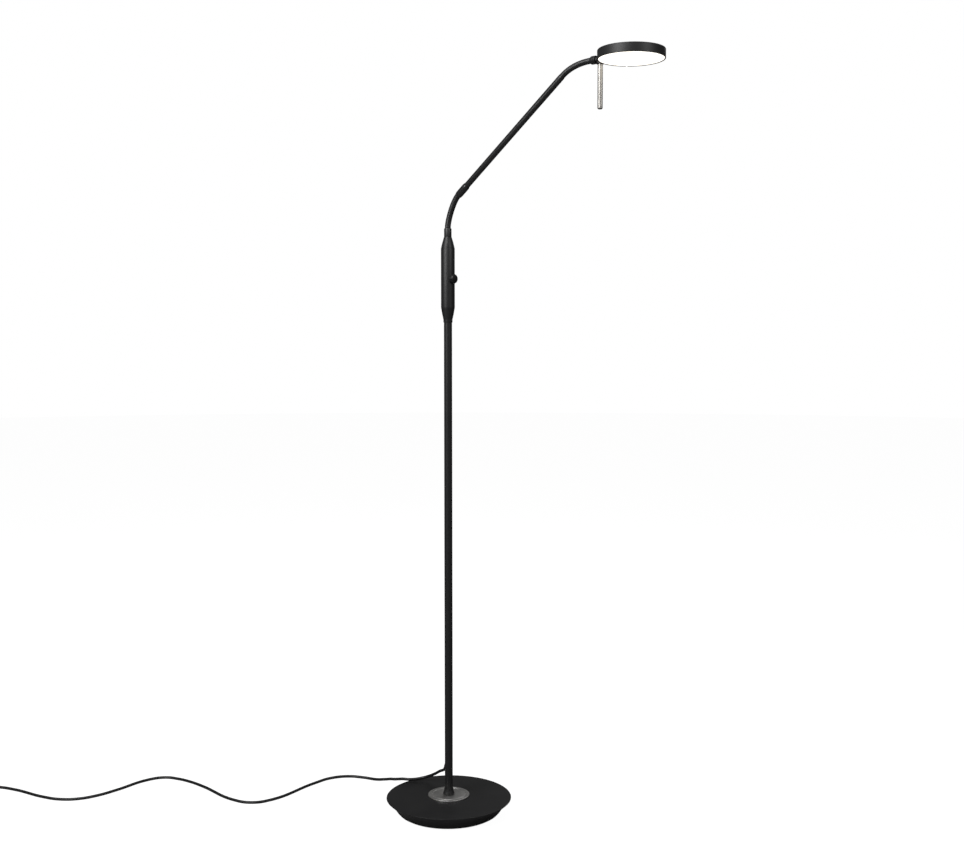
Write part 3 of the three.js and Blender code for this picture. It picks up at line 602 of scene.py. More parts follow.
class Paintshop:
    """Every finish of the lamp, each made once."""

    def __init__(self) -> None:
        """Mixes the finishes."""
        # The handle's nickel: its own grey with a slight cream added, which is painted warm light
        # from the lit disc.
        pale_nickel = ((0.40, 0.385, 0.36), (0.48, 0.465, 0.44))
        zinc = ((0.42, 0.43, 0.44), (0.6, 0.61, 0.61))
        self.finishes: dict[Slot, Material] = {
            Slot.PAINT: PowderCoat().material(),
            Slot.HEAD: PowderCoat(
                name="head_powder", smooth=0.47, rough=0.53, peel=1700, peel_height=0.00001,
                sheen=0.45,
            ).material(),
            Slot.NICKEL: BrushedMetal(
                "satin_nickel", *pale_nickel, smooth=0.42, rough=0.5, lines=1500,
                line_height=0.0000006,
            ).material(),
            Slot.ZINC: BrushedMetal(
                "bright_zinc", *zinc, smooth=0.3, rough=0.46, lines=1800
            ).material(),
            Slot.IRON: CastMetal().material(),
            Slot.PAD: FoamPad().material(),
            Slot.SHEATH: Moulding(
                "neck_sheath", (0.007, 0.007, 0.0075), (0.010, 0.010, 0.0105), 0.33, 0.39,
                grain=1900, grain_height=0.000006, sheen=0.62,
            ).material(),
            Slot.PLASTIC: Moulding(
                "moulded_black", (0.009, 0.009, 0.0095), (0.014, 0.014, 0.0145), 0.4, 0.52
            ).material(),
            Slot.DIAL: Moulding(
                "dial_black", (0.006, 0.006, 0.0065), (0.01, 0.01, 0.0105), 0.28, 0.36, grain=3200,
                grain_height=0.000008,
            ).material(),
            Slot.BOARD: CircuitBoard().material(),
            Slot.OPAL: LitOpal().material(),
            Slot.ACRYLIC: ClearGuide().material(),
            Slot.SHEET: Moulding(
                "white_foil", (0.82, 0.82, 0.8), (0.9, 0.9, 0.88), 0.5, 0.6,
                grain=5000, grain_height=0.000004,
            ).material(),
            Slot.CORD: Moulding(
                "lead_jacket", (0.0075, 0.0075, 0.008), (0.0125, 0.0125, 0.013), 0.36, 0.5,
                grain=1500, grain_height=0.00003,
            ).material(),
            Slot.PIN: BrushedMetal(
                "plated_prong", *zinc, smooth=0.2, rough=0.3, lines=3000
            ).material(),
        }
        # The rosette's nickel is a far lighter copy of the handle's: its extra lightness is painted
        # reflection of the bright surround.
        self.rosette = BrushedMetal(
            "turned_nickel_painted_reflection", (0.70, 0.69, 0.67), (0.84, 0.83, 0.81), 0.33, 0.41,
            Brushing.ROUND_Z, line_height=0.000002,
        ).material()
        # The stem's powder is a lighter copy of the black powder: its extra lightness is painted
        # light, not a different paint.
        self.stem = PowderCoat(
            name="stem_powder_painted_light", dark=(0.015, 0.015, 0.0155), light=(0.021, 0.021, 0.0215), sheen=0.6
        ).material()
        self.satin = PowderCoat(
            name="satin_black", smooth=0.31, rough=0.37, peel=2100, peel_height=0.000005, sheen=0.62
        ).material()
        log.info("mixed %d finishes", len(self.finishes) + 3)

    def paint(self, obj: Piece, slot: Slot, other: Material | None = None) -> None:
        """Gives a piece its finish and names its slot.

        Args:
            obj: The piece.
            slot: The record's slot.
            other: A finish of the same kind to use instead of the slot's own.
        """
        obj.data.materials.clear()
        obj.data.materials.append(other or self.finishes[slot])


@dataclass
class Assembly:
    """A group of the lamp's pieces."""

    shop: Paintshop

    def fit(
        self, obj: Piece, slot: Slot, body: str | None, *nodes: str, over: float = 30,
        finish: Material | None = None,
    ) -> Piece:
        """Finishes a piece: smooths and paints it, and hangs it on its body.

        Args:
            obj: The piece.
            slot: The record's slot it takes its finish from.
            body: The body it rides on, or none for a piece that rides on no body.
            *nodes: The plain solids it stands for.
            over: Edges that turn more than this many degrees stay crisp.
            finish: A finish to use instead of the slot's own.

        Returns:
            The same piece.
        """
        take(obj)
        bpy.ops.object.shade_smooth_by_angle(angle=math.radians(over))
        self.shop.paint(obj, slot, finish)
        if body:
            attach(obj, body)
        if nodes:
            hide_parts(*nodes)
        faces = len(obj.data.polygons)
        log.info("%s: %d faces, rides on %s", obj.name, faces, body or "two bodies")
        return obj

    def dress_nodes(self, slot: Slot, *nodes: str) -> None:
        """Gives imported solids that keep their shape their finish.

        Args:
            slot: The record's slot.
            *nodes: The nodes' names.
        """
        for name in nodes:
            self.shop.paint(frame["nodes"][name], slot)
            log.info("%s keeps its shape, in %s", name, slot.value)


# ---- Base and pole ----


@dataclass
class Base(Assembly):
    """The weighted foot: a pressed cover over an iron weight, a pad and a rosette."""

    wall: float = 0.0014
    rim_drop: float = 0.0028
    bore: float = 0.0053
    top_edge: float = 0.039  # where the flat middle starts to slope
    side: tuple[tuple[float, float], ...] = (
        (0.1026, 0.0175),
        (0.09702, 0.00918),
        (0.09299, 0.00461),
        (0.0885, 0.00199),
        (0.084, 0.001),
    )
    pad_radius: float = 0.080
    groove_radius: float = 0.0305
    groove_depth: float = 0.0007

    def cover_line(self, inset: float) -> Outline:
        """Returns the cover's line from its bore over the rim to the foot edge, moved in."""
        top = span("base_cover")[1]
        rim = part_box("base_cover")[1].x
        return [
            (self.bore, top - inset),
            (self.top_edge, top - inset),
            (rim - 0.0005 - inset, top - self.rim_drop + 0.0002 - inset),
            (rim - inset, top - self.rim_drop - 0.0004 - inset),
            *[(radius - inset, height) for radius, height in self.side],
        ]

    def cover(self) -> None:
        """Builds the black cover, a thin pressed shell."""
        outline = self.cover_line(0) + self.cover_line(self.wall)[::-1]
        obj = lathe("pressed_cover", outline, 160)
        ease_edges(obj, 0.0005, 3, 20)
        self.fit(obj, Slot.PAINT, "stand", "base_cover", over=28)

    def pad(self) -> None:
        """Builds the foam pad that the lamp stands on."""
        low, high = span("base_pad")
        ring = self.pad_radius - 0.006
        outline = [
            (0, low + 0.0003), (ring - 0.002, low + 0.0003), (ring, low), (self.pad_radius, low),
            (self.pad_radius, high), (0, high),
        ]
        obj = lathe("foam_foot", outline, 96)
        ease_edges(obj, 0.0005, 2)
        self.fit(obj, Slot.PAD, "stand", "base_pad")

    def rosette(self) -> None:
        """Builds the turned plate round the pole's foot, with its ring groove."""
        low, high = span("base_rosette")
        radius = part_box("base_rosette")[1].x
        groove, depth = self.groove_radius, self.groove_depth
        outline = [
            (self.bore, low), (radius, low), (radius, high - BREAK), (radius - BREAK, high),
            (groove + 0.0009, high), (groove + 0.0003, high - depth),
            (groove - 0.0003, high - depth), (groove - 0.0009, high - 0.0001),
            (self.bore, high - 0.0001),
        ]
        obj = lathe("turned_rosette", outline, 128)
        ease_edges(obj, 0.00018, 2, 25)
        self.fit(obj, Slot.NICKEL, "stand", "base_rosette", over=28, finish=self.shop.rosette)

    def build(self) -> None:
        """Builds the foot."""
        self.cover()
        self.pad()
        self.rosette()
        self.dress_nodes(Slot.IRON, "base_weight")
        self.dress_nodes(Slot.ZINC, "bolt_washer", "base_bolt")


@dataclass
class LeadExit:
    """The strain relief at the back of the pole, and the line that the lead leaves on."""

    azimuth: float = 105
    slope: float = -40
    height: float = 0.0563  # above the pole's foot
    length: float = 0.022
    root_radius: float = 0.0047
    tip_radius: float = 0.0035
    ribs: int = 5
    pole_radius: float = 0.0073
    foot: float = field(default_factory=lambda: span("pole_tube")[0])

    @property
    def direction(self) -> Vector:
        """The way that the lead leaves the pole."""
        a, s = math.radians(self.azimuth), math.radians(self.slope)
        return Vector((math.cos(a) * math.cos(s), math.sin(a) * math.cos(s), math.sin(s)))

    @property
    def root(self) -> Vector:
        """Where that line starts, on the pole's axis."""
        drop = self.pole_radius * math.tan(math.radians(self.slope))
        return Vector((0, 0, self.foot + self.height - drop))

    @property
    def exit(self) -> Vector:
        """Where the lead comes out of the strain relief's tip."""
        return self.root + self.direction * (self.pole_radius + self.length + GAP)

    def boot(self) -> Piece:
        """Returns the ribbed, tapered boot, seated on the round pole."""
        start, end = self.pole_radius - 0.0014, self.pole_radius + self.length
        shoulder = self.pole_radius + 0.004
        outline = [(0, start), (self.root_radius, start), (self.root_radius, shoulder)]
        pitch = (end - shoulder) / (self.ribs + 1)
        for i in range(self.ribs):
            at = shoulder + pitch * (i + 0.6)
            share = (at - shoulder) / (end - shoulder)
            radius = self.root_radius + (self.tip_radius - self.root_radius) * share
            outline += [
                (radius, at - pitch * 0.22),
                (radius - 0.0006, at - pitch * 0.14),
                (radius - 0.0006, at + pitch * 0.14),
                (radius - 0.0001, at + pitch * 0.22),
            ]
        outline += [(self.tip_radius, end - 0.0004), (self.tip_radius - 0.0004, end), (0, end)]
        obj = aim(lathe("lead_boot", outline, 40), self.direction, self.root)
        cut(obj, bar("pole_blank", self.pole_radius + GAP, self.foot, self.foot + 0.2, 64))
        throat = bar("throat", self.tip_radius, self.pole_radius - 0.0024, end - 0.002, 40)
        unite(obj, aim(throat, self.direction, self.root))
        return obj


@dataclass
class Pole(Assembly):
    """The tube that stands on the base, its foot collar and the lead's strain relief."""

    radius: float = 0.0073
    wall: float = 0.001
    flare: float = 0.0031
    lead_exit: LeadExit = field(default_factory=LeadExit)

    def tube(self) -> None:
        """Builds the pole with the hole that the lead leaves by."""
        low, high = span("pole_tube")
        inner = self.radius - self.wall
        outline = [(inner, low), (self.radius, low), (self.radius, high), (inner, high)]
        obj = lathe("pole", outline, 64)
        bore = self.lead_exit.tip_radius + GAP
        hole = bar("lead_hole", bore, self.radius - 0.003, self.radius + 0.006, 32)
        cut(obj, aim(hole, self.lead_exit.direction, self.lead_exit.root))
        self.fit(obj, Slot.PAINT, "stand", "pole_tube")

    def collar(self) -> None:
        """Builds the bell-shaped collar that hides the pole's foot."""
        low, high = span("foot_collar")
        bore, rise = self.radius + GAP, high - low
        skirt = self.radius + self.flare
        outline = [(bore, low), (skirt, low), (skirt, low + 0.0019)]
        for i in range(1, 7):
            share = i / 6
            radius = bore + 0.0008 + (self.flare - 0.0011) * (1 - share) ** 2.2
            outline.append((radius, low + 0.0024 + (rise - 0.0024) * share))
        outline.append((bore, high))
        obj = lathe("foot_bell", outline, 72)
        ease_edges(obj, 0.0003, 2)
        self.fit(obj, Slot.PAINT, "stand", "foot_collar")

    def build(self) -> None:
        """Builds the pole and what is on it."""
        self.tube()
        self.collar()
        self.fit(self.lead_exit.boot(), Slot.PLASTIC, "stand", "cord_gland")
        self.dress_nodes(Slot.ZINC, "pole_bushing")


# ---- Dimmer body ----


@dataclass
class DimmerBody(Assembly):
    """The thick part of the pole with the dimmer inside and its dial on the side."""

    radius: float = 0.0124
    wall: float = 0.0014
    pole_bore: float = 0.0076
    lip: float = 0.0082
    lip_height: float = 0.005
    lower_taper: float = 0.0216
    stem_radius: float = 0.0067
    pin_bore: float = 0.0043
    cap_spigot: float = 0.0105
    seam: float = 0.0001  # between the tube and the cap
    seat_radius: float = 0.007
    seat_proud: float = 0.0005
    dial_radius: float = 0.0082
    dial_thickness: float = 0.0054
    dial_dome: float = 0.0022

    @property
    def joint_height(self) -> float:
        """The seam between the tube and its cap."""
        return span("housing_cap")[0] + self.cap_spigot

    def on_dial_axis(self, obj: Piece) -> Piece:
        """Lays a piece made along +Z along the dial's axis."""
        return aim(obj, joint_axis("knob_turn"), joint_place("knob_turn"))

    def tube(self) -> None:
        """Builds the tube, with its lower taper, the lip on the pole and the dial's seat."""
        bottom = span("dimmer_housing")[0] + self.lip_height
        top, taper_top = self.joint_height - self.seam, bottom + self.lower_taper
        inner = self.radius - self.wall
        outline = [
            (self.pole_bore, bottom - self.lip_height), (self.lip, bottom - self.lip_height),
            (self.lip, bottom),
            (self.lip + (self.radius - self.lip) * 0.55, bottom + self.lower_taper * 0.5),
            (self.radius, taper_top), (self.radius, top), (inner, top),
            (inner, taper_top + 0.004), (self.pole_bore, taper_top),
        ]
        obj = lathe("dimmer_tube", outline, 96)
        ease_edges(obj, 0.0003, 3, 8)
        face, rim, seat_root = self.radius + self.seat_proud, self.seat_radius, inner - 0.0015
        seat = lathe(
            "dial_seat",
            [(0, seat_root), (rim, seat_root), (rim, face - BREAK), (rim - BREAK, face), (0, face)],
            56,
        )
        unite(obj, self.on_dial_axis(seat))
        cut(obj, self.on_dial_axis(bar("shaft_hole", 0.0033, 0.005, face + 0.002, 32)))
        self.fit(obj, Slot.PAINT, "stand", "dimmer_housing", over=24)

    def cap(self) -> None:
        """Builds the cap that closes the tube, tapered up to the swivel."""
        seam, top = self.joint_height, span("housing_cap")[1]
        spigot, lip = self.radius - self.wall - GAP, self.stem_radius + GAP
        outline = [
            (self.pin_bore, seam - self.cap_spigot), (spigot, seam - self.cap_spigot),
            (spigot, seam), (self.radius, seam),
            (lip + (self.radius - lip) * 0.55, (seam + top) / 2), (lip, top),
            (self.pin_bore, top),
        ]
        obj = lathe("dimmer_cap", outline, 96)
        ease_edges(obj, 0.0003, 3, 8)
        self.fit(obj, Slot.PAINT, "stand", "housing_cap", over=24)

    def dial(self) -> None:
        """Builds the domed dial with its pointer groove."""
        foot = self.radius + self.seat_proud + GAP
        top, dome = foot + self.dial_thickness, self.dial_dome
        floor = top - dome - 0.0006
        outline = [(0, floor), (0.0033, floor), (0.0033, foot), (self.dial_radius - 0.0004, foot)]
        dome_foot, dome_rise = top - dome - 0.0002, dome + 0.0002
        outline += [(self.dial_radius, foot + 0.0005), (self.dial_radius, dome_foot)]
        for i in range(1, 9):
            turn = QUARTER_TURN * i / 8
            radius = self.dial_radius * math.cos(turn) ** 0.8
            outline.append((radius, dome_foot + dome_rise * math.sin(turn)))
        outline[-1] = (0, top)
        obj = self.on_dial_axis(lathe("dimmer_dial", outline, 72))
        groove = block("pointer", (0.0046, 0.0007, 0.0012), (-0.0052, 0, top - dome * 0.35))
        ease_edges(groove, 0.0002, 2)
        cut(obj, self.on_dial_axis(groove))
        self.fit(obj, Slot.DIAL, "knob", "dimmer_knob", over=34)

    def build(self) -> None:
        """Builds the dimmer body and its dial."""
        self.tube()
        self.cap()
        self.dial()
        self.dress_nodes(Slot.ZINC, "dimmer_pot")
        self.dress_nodes(Slot.BOARD, "dimmer_board")


# ---- Swivel, necks and arm ----


@dataclass
class ArmLine:
    """The line of the arm, from the swivel to the head, in the arm's upright plane."""

    slope: float = 38.2
    run: float = 0.0244  # level distance covered by the lower neck
    rise: float = 0.0554
    handle: float = 0.014  # how far each end of a neck runs nearly straight
    hold: float = 0.011  # length of neck inside the joiner
    tube_length: float = 0.277
    upper_run: float = 0.0575
    upper_rise: float = 0.0166

    @property
    def level(self) -> Vector:
        """The arm's heading, level."""
        return joint_axis("head_roll")

    @property
    def along(self) -> Vector:
        """The straight arm's direction."""
        s = math.radians(self.slope)
        return self.level * math.cos(s) + UP * math.sin(s)

    @property
    def foot(self) -> Vector:
        """Where the lower neck starts, on the swivel."""
        return UP * (span("swivel_stem")[1] + GAP)

    @property
    def lower_end(self) -> Vector:
        """Where the lower neck meets the straight line."""
        return self.foot + self.level * self.run + UP * self.rise

    def on_arm(self, distance: float) -> Vector:
        """Returns a point on the straight arm, from the lower neck's end."""
        return self.lower_end + self.along * distance

    @property
    def tube_start(self) -> float:
        """Where the straight tube starts, from the lower neck's end."""
        return self.hold + GAP

    @property
    def upper_start(self) -> Vector:
        """Where the upper neck starts."""
        return self.on_arm(self.tube_start + self.tube_length + GAP)

    @property
    def upper_end(self) -> Vector:
        """Where the upper neck ends, level, in the head's collar."""
        return self.upper_start + self.level * self.upper_run + UP * self.upper_rise

    def lower_handles(self) -> list[Vector]:
        """Returns the lower neck's four curve points."""
        return [
            self.foot,
            self.foot + UP * self.handle,
            self.lower_end - self.along * self.handle,
            self.lower_end,
        ]

    def upper_handles(self) -> list[Vector]:
        """Returns the upper neck's four curve points."""
        return [
            self.upper_start,
            self.upper_start + self.along * self.handle,
            self.upper_end - self.level * 2 * self.handle,
            self.upper_end,
        ]


@dataclass
class FlexNeck(Assembly):
    """A bendable neck: a steel spiral in a tight black sheath that shows its turns.

    It is made in three lengths, laid one after another along the neck's curve.
    """

    label: str = "lower_neck"
    radius: float = 0.00535
    handles: list[Vector] = field(default_factory=list)
    bodies: tuple[str, str, str, str] = ("", "", "", "")
    turns: int = 33  # of the spiral, along the whole neck
    relief: float = 0.00022

    def length(self) -> float:
        """Returns the neck's length along its curve."""
        line = interpolate_bezier(*self.handles, 200)
        return sum((b - a).length for a, b in zip(line, line[1:]))

    def guide(self) -> Piece:
        """Returns the curve that the lengths are bent along."""
        data = bpy.data.curves.new(self.label + "_line", "CURVE")
        data.dimensions = "3D"
        data.resolution_u = 96
        spline = data.splines.new("BEZIER")
        spline.bezier_points.add(1)
        first, last = spline.bezier_points
        for point in (first, last):
            point.handle_left_type = point.handle_right_type = "FREE"
        first.co, first.handle_right = self.handles[0], self.handles[1]
        first.handle_left = self.handles[0]
        last.handle_left, last.co = self.handles[2], self.handles[3]
        last.handle_right = self.handles[3]
        obj = bpy.data.objects.new(data.name, data)
        bpy.context.scene.collection.objects.link(obj)
        return obj

    def blank(self, index: int, start: float, end: float) -> Piece:
        """Turns one straight length with its raised turns.

        Args:
            index: Which of the three lengths it is.
            start: Where it starts along the neck.
            end: Where it ends.

        Returns:
            The length, along +Z.
        """
        count = self.turns // 3
        pitch = (end - start) / count
        low = self.radius - self.relief
        outline = [(0, start), (low, start)]
        for i in range(count):
            foot = start + pitch * i
            outline += [
                (low + self.relief * 0.75, foot + pitch * 0.2),
                (self.radius, foot + pitch * 0.5),
                (low + self.relief * 0.75, foot + pitch * 0.8),
                (low, foot + pitch),
            ]
        outline.append((0, end))
        return lathe(f"{self.label}_{index + 1}", outline, 48)

    def build(self) -> None:
        """Builds the three lengths, each bent along the neck's curve."""
        guide, length = self.guide(), self.length()
        marks = [length * i / 3 for i in range(4)]
        points = interpolate_bezier(*self.handles, 301)
        for i, (start, end) in enumerate(zip(marks, marks[1:])):
            obj = self.blank(i, start, end)
            modify(obj, "CURVE", object=guide, deform_axis="POS_Z")
            self.fit(obj, Slot.SHEATH, None, over=60)
            first, last = (self.point_at(points, mark) for mark in (start, end))
            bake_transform(obj)
            nodes = [f"{self.label}_{name}" for name in ("root", "link_1", "link_2", "tip")]
            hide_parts(*(nodes[:2] if i == 0 else nodes[i + 1 : i + 2]))
        bpy.data.objects.remove(guide)

    @staticmethod
    def point_at(line: Sequence[Vector], distance: float) -> Vector:
        """Returns the point a distance along a line of points."""
        left = distance
        for a, b in zip(line, line[1:]):
            step = (b - a).length
            if step >= left:
                return a.lerp(b, left / step)
            left -= step
        return line[-1].copy()


@dataclass
class Arm(Assembly):
    """The swivel, the two necks, the straight tube and the sleeves between them."""

    line: ArmLine = field(default_factory=ArmLine)
    stem_radius: float = 0.0067
    pin_radius: float = 0.004
    neck_radius: float = 0.00535
    tube_radius: float = 0.00535
    tube_wall: float = 0.0012
    upper_neck_radius: float = 0.00495
    joiner_wall: float = 0.0009
    joiner_length: float = 0.026
    joiner_taper: float = 0.0054
    collar_radius: float = 0.00675
    collar_length: float = 0.010
    collar_hold: float = 0.005

    def swivel(self) -> None:
        """Builds the turned stem that the arm swings round on."""
        low, high = span("swivel_stem")
        foot = span("housing_cap")[1] + GAP
        neck = high - 0.0022
        outline = [
            (0, low), (self.pin_radius, low), (self.pin_radius, foot), (self.stem_radius, foot),
            (self.stem_radius, neck), (self.stem_radius - 0.0002, high - 0.0012),
            (self.stem_radius - 0.0008, high - 0.0003), (self.neck_radius, high), (0, high),
        ]
        obj = lathe("swivel_ferrule", outline, 64)
        ease_edges(obj, 0.0002, 2)
        self.fit(obj, Slot.PAINT, "swivel", "swivel_stem", finish=self.shop.stem)

    def joiner(self) -> None:
        """Builds the sleeve over the end of the lower neck and the start of the tube."""
        neck_bore, tube_bore = self.neck_radius + GAP, self.tube_radius + GAP
        outer, step = max(neck_bore, tube_bore) + self.joiner_wall, self.line.hold + GAP / 2
        outline: Outline = [(neck_bore, 0)]
        taper = [(0.0008, 0.0), (0.00056, 0.0008), (0.0003, 0.002), (0.0001, 0.0036)]
        taper.append((0.0, self.joiner_taper))
        outline += [(outer - drop, at) for drop, at in taper]
        outline += [(outer - drop, self.joiner_length - at) for drop, at in reversed(taper)]
        outline += [(tube_bore, self.joiner_length), (tube_bore, step), (neck_bore, step)]
        obj = aim(lathe("joiner_sleeve", outline, 64), self.line.along, self.line.lower_end)
        self.fit(obj, Slot.PAINT, "arm", "neck_joiner", finish=self.shop.satin)

    def tube(self) -> None:
        """Builds the straight tube, drawn in a little at its upper end."""
        start, end = self.line.tube_start, self.line.tube_start + self.line.tube_length
        bore = self.tube_radius - self.tube_wall
        outline = [
            (bore, start), (self.tube_radius, start), (self.tube_radius, end - 0.0045),
            (self.tube_radius - 0.00012, end - 0.002), (self.upper_neck_radius, end), (bore, end),
        ]
        obj = aim(lathe("arm_bar", outline, 64), self.line.along, self.line.lower_end)
        self.fit(obj, Slot.PAINT, "arm", "arm_tube", over=40, finish=self.shop.satin)

    def collar(self) -> None:
        """Builds the ferrule that the head turns in."""
        neck_bore, stub_bore = self.upper_neck_radius + GAP, 0.0049
        step = self.collar_hold + GAP / 2
        outer, end = self.collar_radius, self.collar_length
        outline = [
            (neck_bore, 0), (outer - 0.0011, 0), (outer - 0.0003, 0.0009), (outer, 0.0021),
            (outer, end - 0.0032), (outer - 0.0004, end - 0.0029), (outer - 0.0004, end - 0.0024),
            (outer, end - 0.0021), (outer, end - 0.0004), (outer - 0.0004, end), (stub_bore, end),
            (stub_bore, step), (neck_bore, step),
        ]
        obj = aim(lathe("head_ferrule", outline, 64), self.line.level, self.line.upper_end)
        self.fit(obj, Slot.PAINT, "neck_end", "head_collar", over=34, finish=self.shop.satin)

    def build(self) -> None:
        """Builds everything from the swivel to the head's ferrule."""
        self.swivel()
        links = ("swivel", "lower_link_1", "lower_link_2", "arm")
        handles = self.line.lower_handles()
        FlexNeck(self.shop, "lower_neck", self.neck_radius, handles, links).build()
        self.joiner()
        self.tube()
        links = ("arm", "upper_link_1", "upper_link_2", "neck_end")
        handles = self.line.upper_handles()
        FlexNeck(self.shop, "upper_neck", self.upper_neck_radius, handles, links).build()
        self.collar()
        self.dress_nodes(Slot.ZINC, "swivel_clip")


# ---- Head ----


@dataclass
class Head(Assembly):
    """The flat round head, its opal disc, the bracket on the neck and the aiming handle."""

    line: ArmLine = field(default_factory=ArmLine)
    radius: float = 0.0542
    wall: float = 0.0017
    edge: float = 0.0016
    handle_reach: float = 0.0175
    standoff: float = 0.005
    drop: float = 0.0084  # from the neck's axis to the open rim
    knuckle_radius: float = 0.0059
    stub_radius: float = 0.0046
    collar_hold: float = 0.005
    handle_radius: float = 0.00425
    handle_length: float = 0.0715
    spigot_radius: float = 0.002
    spigot_length: float = 0.0034
    notch: tuple[float, float, float] = (0.003, 0.0034, 0.0022)
    screw_radius: float = 0.0023
    handle_round: float = 0.0022  # of its free end

    @property
    def height(self) -> float:
        """The head's height."""
        low, high = span("head_shell")
        return high - low

    def at(self, along: float, rise: float = 0) -> Vector:
        """Returns a point from the neck's end, out along the head's line and up."""
        return self.line.upper_end + self.line.level * along + UP * rise

    @property
    def rim(self) -> Vector:
        """The middle of the head's open rim."""
        return self.at(self.handle_reach + self.standoff + self.radius, -self.drop)

    def shell(self) -> None:
        """Builds the can, with a rounded top edge and a notch for prising the disc out."""
        top, inner, edge = self.height, self.radius - self.wall, self.edge
        outline = [(0, top - self.wall), (inner, top - self.wall), (inner, 0.0007)]
        outline += [(inner + 0.0004, 0), (self.radius - 0.0004, 0), (self.radius, 0.0004)]
        for i in range(7):
            turn = QUARTER_TURN * i / 6
            radius = self.radius - edge + edge * math.cos(turn)
            outline.append((radius, top - edge + edge * math.sin(turn)))
        outline.append((0, top))
        obj = aim(lathe("head_can", outline, 160), UP, self.rim)
        cut(obj, block("notch", self.notch, self.rim + Vector((0, self.radius, 0))))
        hole = bar("screw_hole", self.screw_radius, -0.002, self.wall + 0.002, 32)
        cut(obj, aim(hole, self.line.level, self.at(self.handle_reach + self.standoff)))
        self.fit(obj, Slot.HEAD, "head", "head_shell", over=26)

    def disc(self) -> None:
        """Builds the opal disc, with the fine step round its edge."""
        low, high = span("head_diffuser")
        radius, base = self.radius - self.wall - GAP, self.rim.z
        bottom, top = low - base, high - base
        outline = [
            (0, bottom), (radius - 0.0026, bottom), (radius - 0.0022, bottom + 0.0003),
            (radius - 0.0004, bottom + 0.0003), (radius, bottom + 0.0006), (radius, top),
            (0, top),
        ]
        obj = aim(lathe("opal_disc", outline, 128), UP, self.rim)
        self.fit(obj, Slot.OPAL, "head", "head_diffuser")

    def bracket(self) -> None:
        """Builds the bracket: a post over the handle, a web to the head, a stub in the ferrule."""
        place = self.at(self.handle_reach, -self.drop)
        top = self.height - 0.0012
        radius = self.knuckle_radius
        post = [(0, GAP), (radius - 0.0004, GAP), (radius, GAP + 0.0004), (radius, top - 0.001)]
        post += [(radius - 0.0003, top - 0.0004), (radius - 0.001, top), (0, top)]
        obj = aim(lathe("head_bracket", post, 64), UP, place)
        stub = bar("stub", self.stub_radius, self.collar_hold + GAP, self.handle_reach, 48)
        web = block("web", (2 * self.standoff, 2 * radius - 0.002, self.height - 0.004), (0, 0, 0))
        ease_edges(web, 0.0007, 3)
        web.rotation_euler = (0, 0, math.atan2(self.line.level.y, self.line.level.x))
        web.location = self.at(self.handle_reach + self.standoff, self.height / 2 - self.drop)
        set_down(web)
        unite(obj, aim(stub, self.line.level, self.line.upper_end), web)
        drum = bar("drum", self.radius + GAP, -0.005, self.height + 0.005, 160)
        socket = bar("socket", self.spigot_radius + GAP, -0.001, self.spigot_length + 2 * GAP, 32)
        screw = bar("screw_path", self.screw_radius, -0.009, 0.002, 32)
        side = self.at(self.handle_reach + self.standoff)
        cut(obj, aim(drum, UP, self.rim), aim(socket, UP, place), aim(screw, self.line.level, side))
        self.fit(obj, Slot.PAINT, "head", "head_knuckle", over=30)

    def handle(self) -> None:
        """Builds the nickel rod that the head is aimed by, with a rounded end."""
        radius, length, nose = self.handle_radius, self.handle_length, self.handle_round
        outline = [(0, -length)]
        for i in range(1, 8):
            turn = QUARTER_TURN * i / 7
            height = -length + nose * (1 - math.cos(turn))
            outline.append((radius - nose + nose * math.sin(turn), height))
        outline.insert(1, (radius - nose, -length))
        outline += [
            (radius, -0.0034),
            (radius - 0.0004, -0.0031),
            (radius - 0.0004, -0.0025),
            (radius, -0.0022),
            (radius, -0.0003),
            (radius - 0.0003, 0),
            (self.spigot_radius, 0),
            (self.spigot_radius, self.spigot_length),
            (0, self.spigot_length),
        ]
        place = self.at(self.handle_reach, -self.drop + GAP)
        obj = aim(lathe("aiming_handle", outline, 64), UP, place)
        self.fit(obj, Slot.NICKEL, "head", "handle_rod", over=30)

    def build(self) -> None:
        """Builds the head."""
        self.shell()
        self.disc()
        self.bracket()
        self.handle()
        self.dress_nodes(Slot.ACRYLIC, "light_guide")
        self.dress_nodes(Slot.SHEET, "back_reflector")
        self.dress_nodes(Slot.BOARD, "led_board")
        self.dress_nodes(Slot.ZINC, "head_screw")


# ---- Mains lead ----

FLOOR = 0.00285  # height of the lead's axis where it lies on the floor

LEAD_ROUTE: list[tuple[float, float, float]] = [
    (-0.0086, 0.034, 0.0686), (-0.0168, 0.052, 0.0592), (-0.028, 0.069, 0.0476),
    (-0.038, 0.0785, 0.0406), (-0.050, 0.0826, 0.036), (-0.063, 0.0822, 0.0338),
    (-0.0765, 0.0822, 0.0333), (-0.088, 0.087, 0.0325), (-0.0968, 0.096, 0.0292),
    (-0.1045, 0.109, 0.0245), (-0.1126, 0.126, 0.019), (-0.126, 0.1485, 0.0106),
    (-0.144, 0.1675, 0.004), (-0.169, 0.182, FLOOR), (-0.201, 0.190, FLOOR),
    (-0.235, 0.180, FLOOR), (-0.262, 0.154, FLOOR), (-0.345, 0.057, FLOOR),
    (-0.372, 0.050, FLOOR), (-0.400, 0.060, FLOOR), (-0.481, 0.142, FLOOR),
    (-0.508, 0.166, FLOOR), (-0.536, 0.184, FLOOR), (-0.564, 0.193, FLOOR),
    (-0.591, 0.183, FLOOR), (-0.643, 0.123, FLOOR), (-0.671, 0.095, FLOOR),
    (-0.703, 0.078, FLOOR), (-0.737, 0.077, FLOOR), (-0.771, 0.090, FLOOR),
    (-0.838, 0.131, FLOOR), (-0.874, 0.146, FLOOR), (-0.9145, 0.151, FLOOR),
]
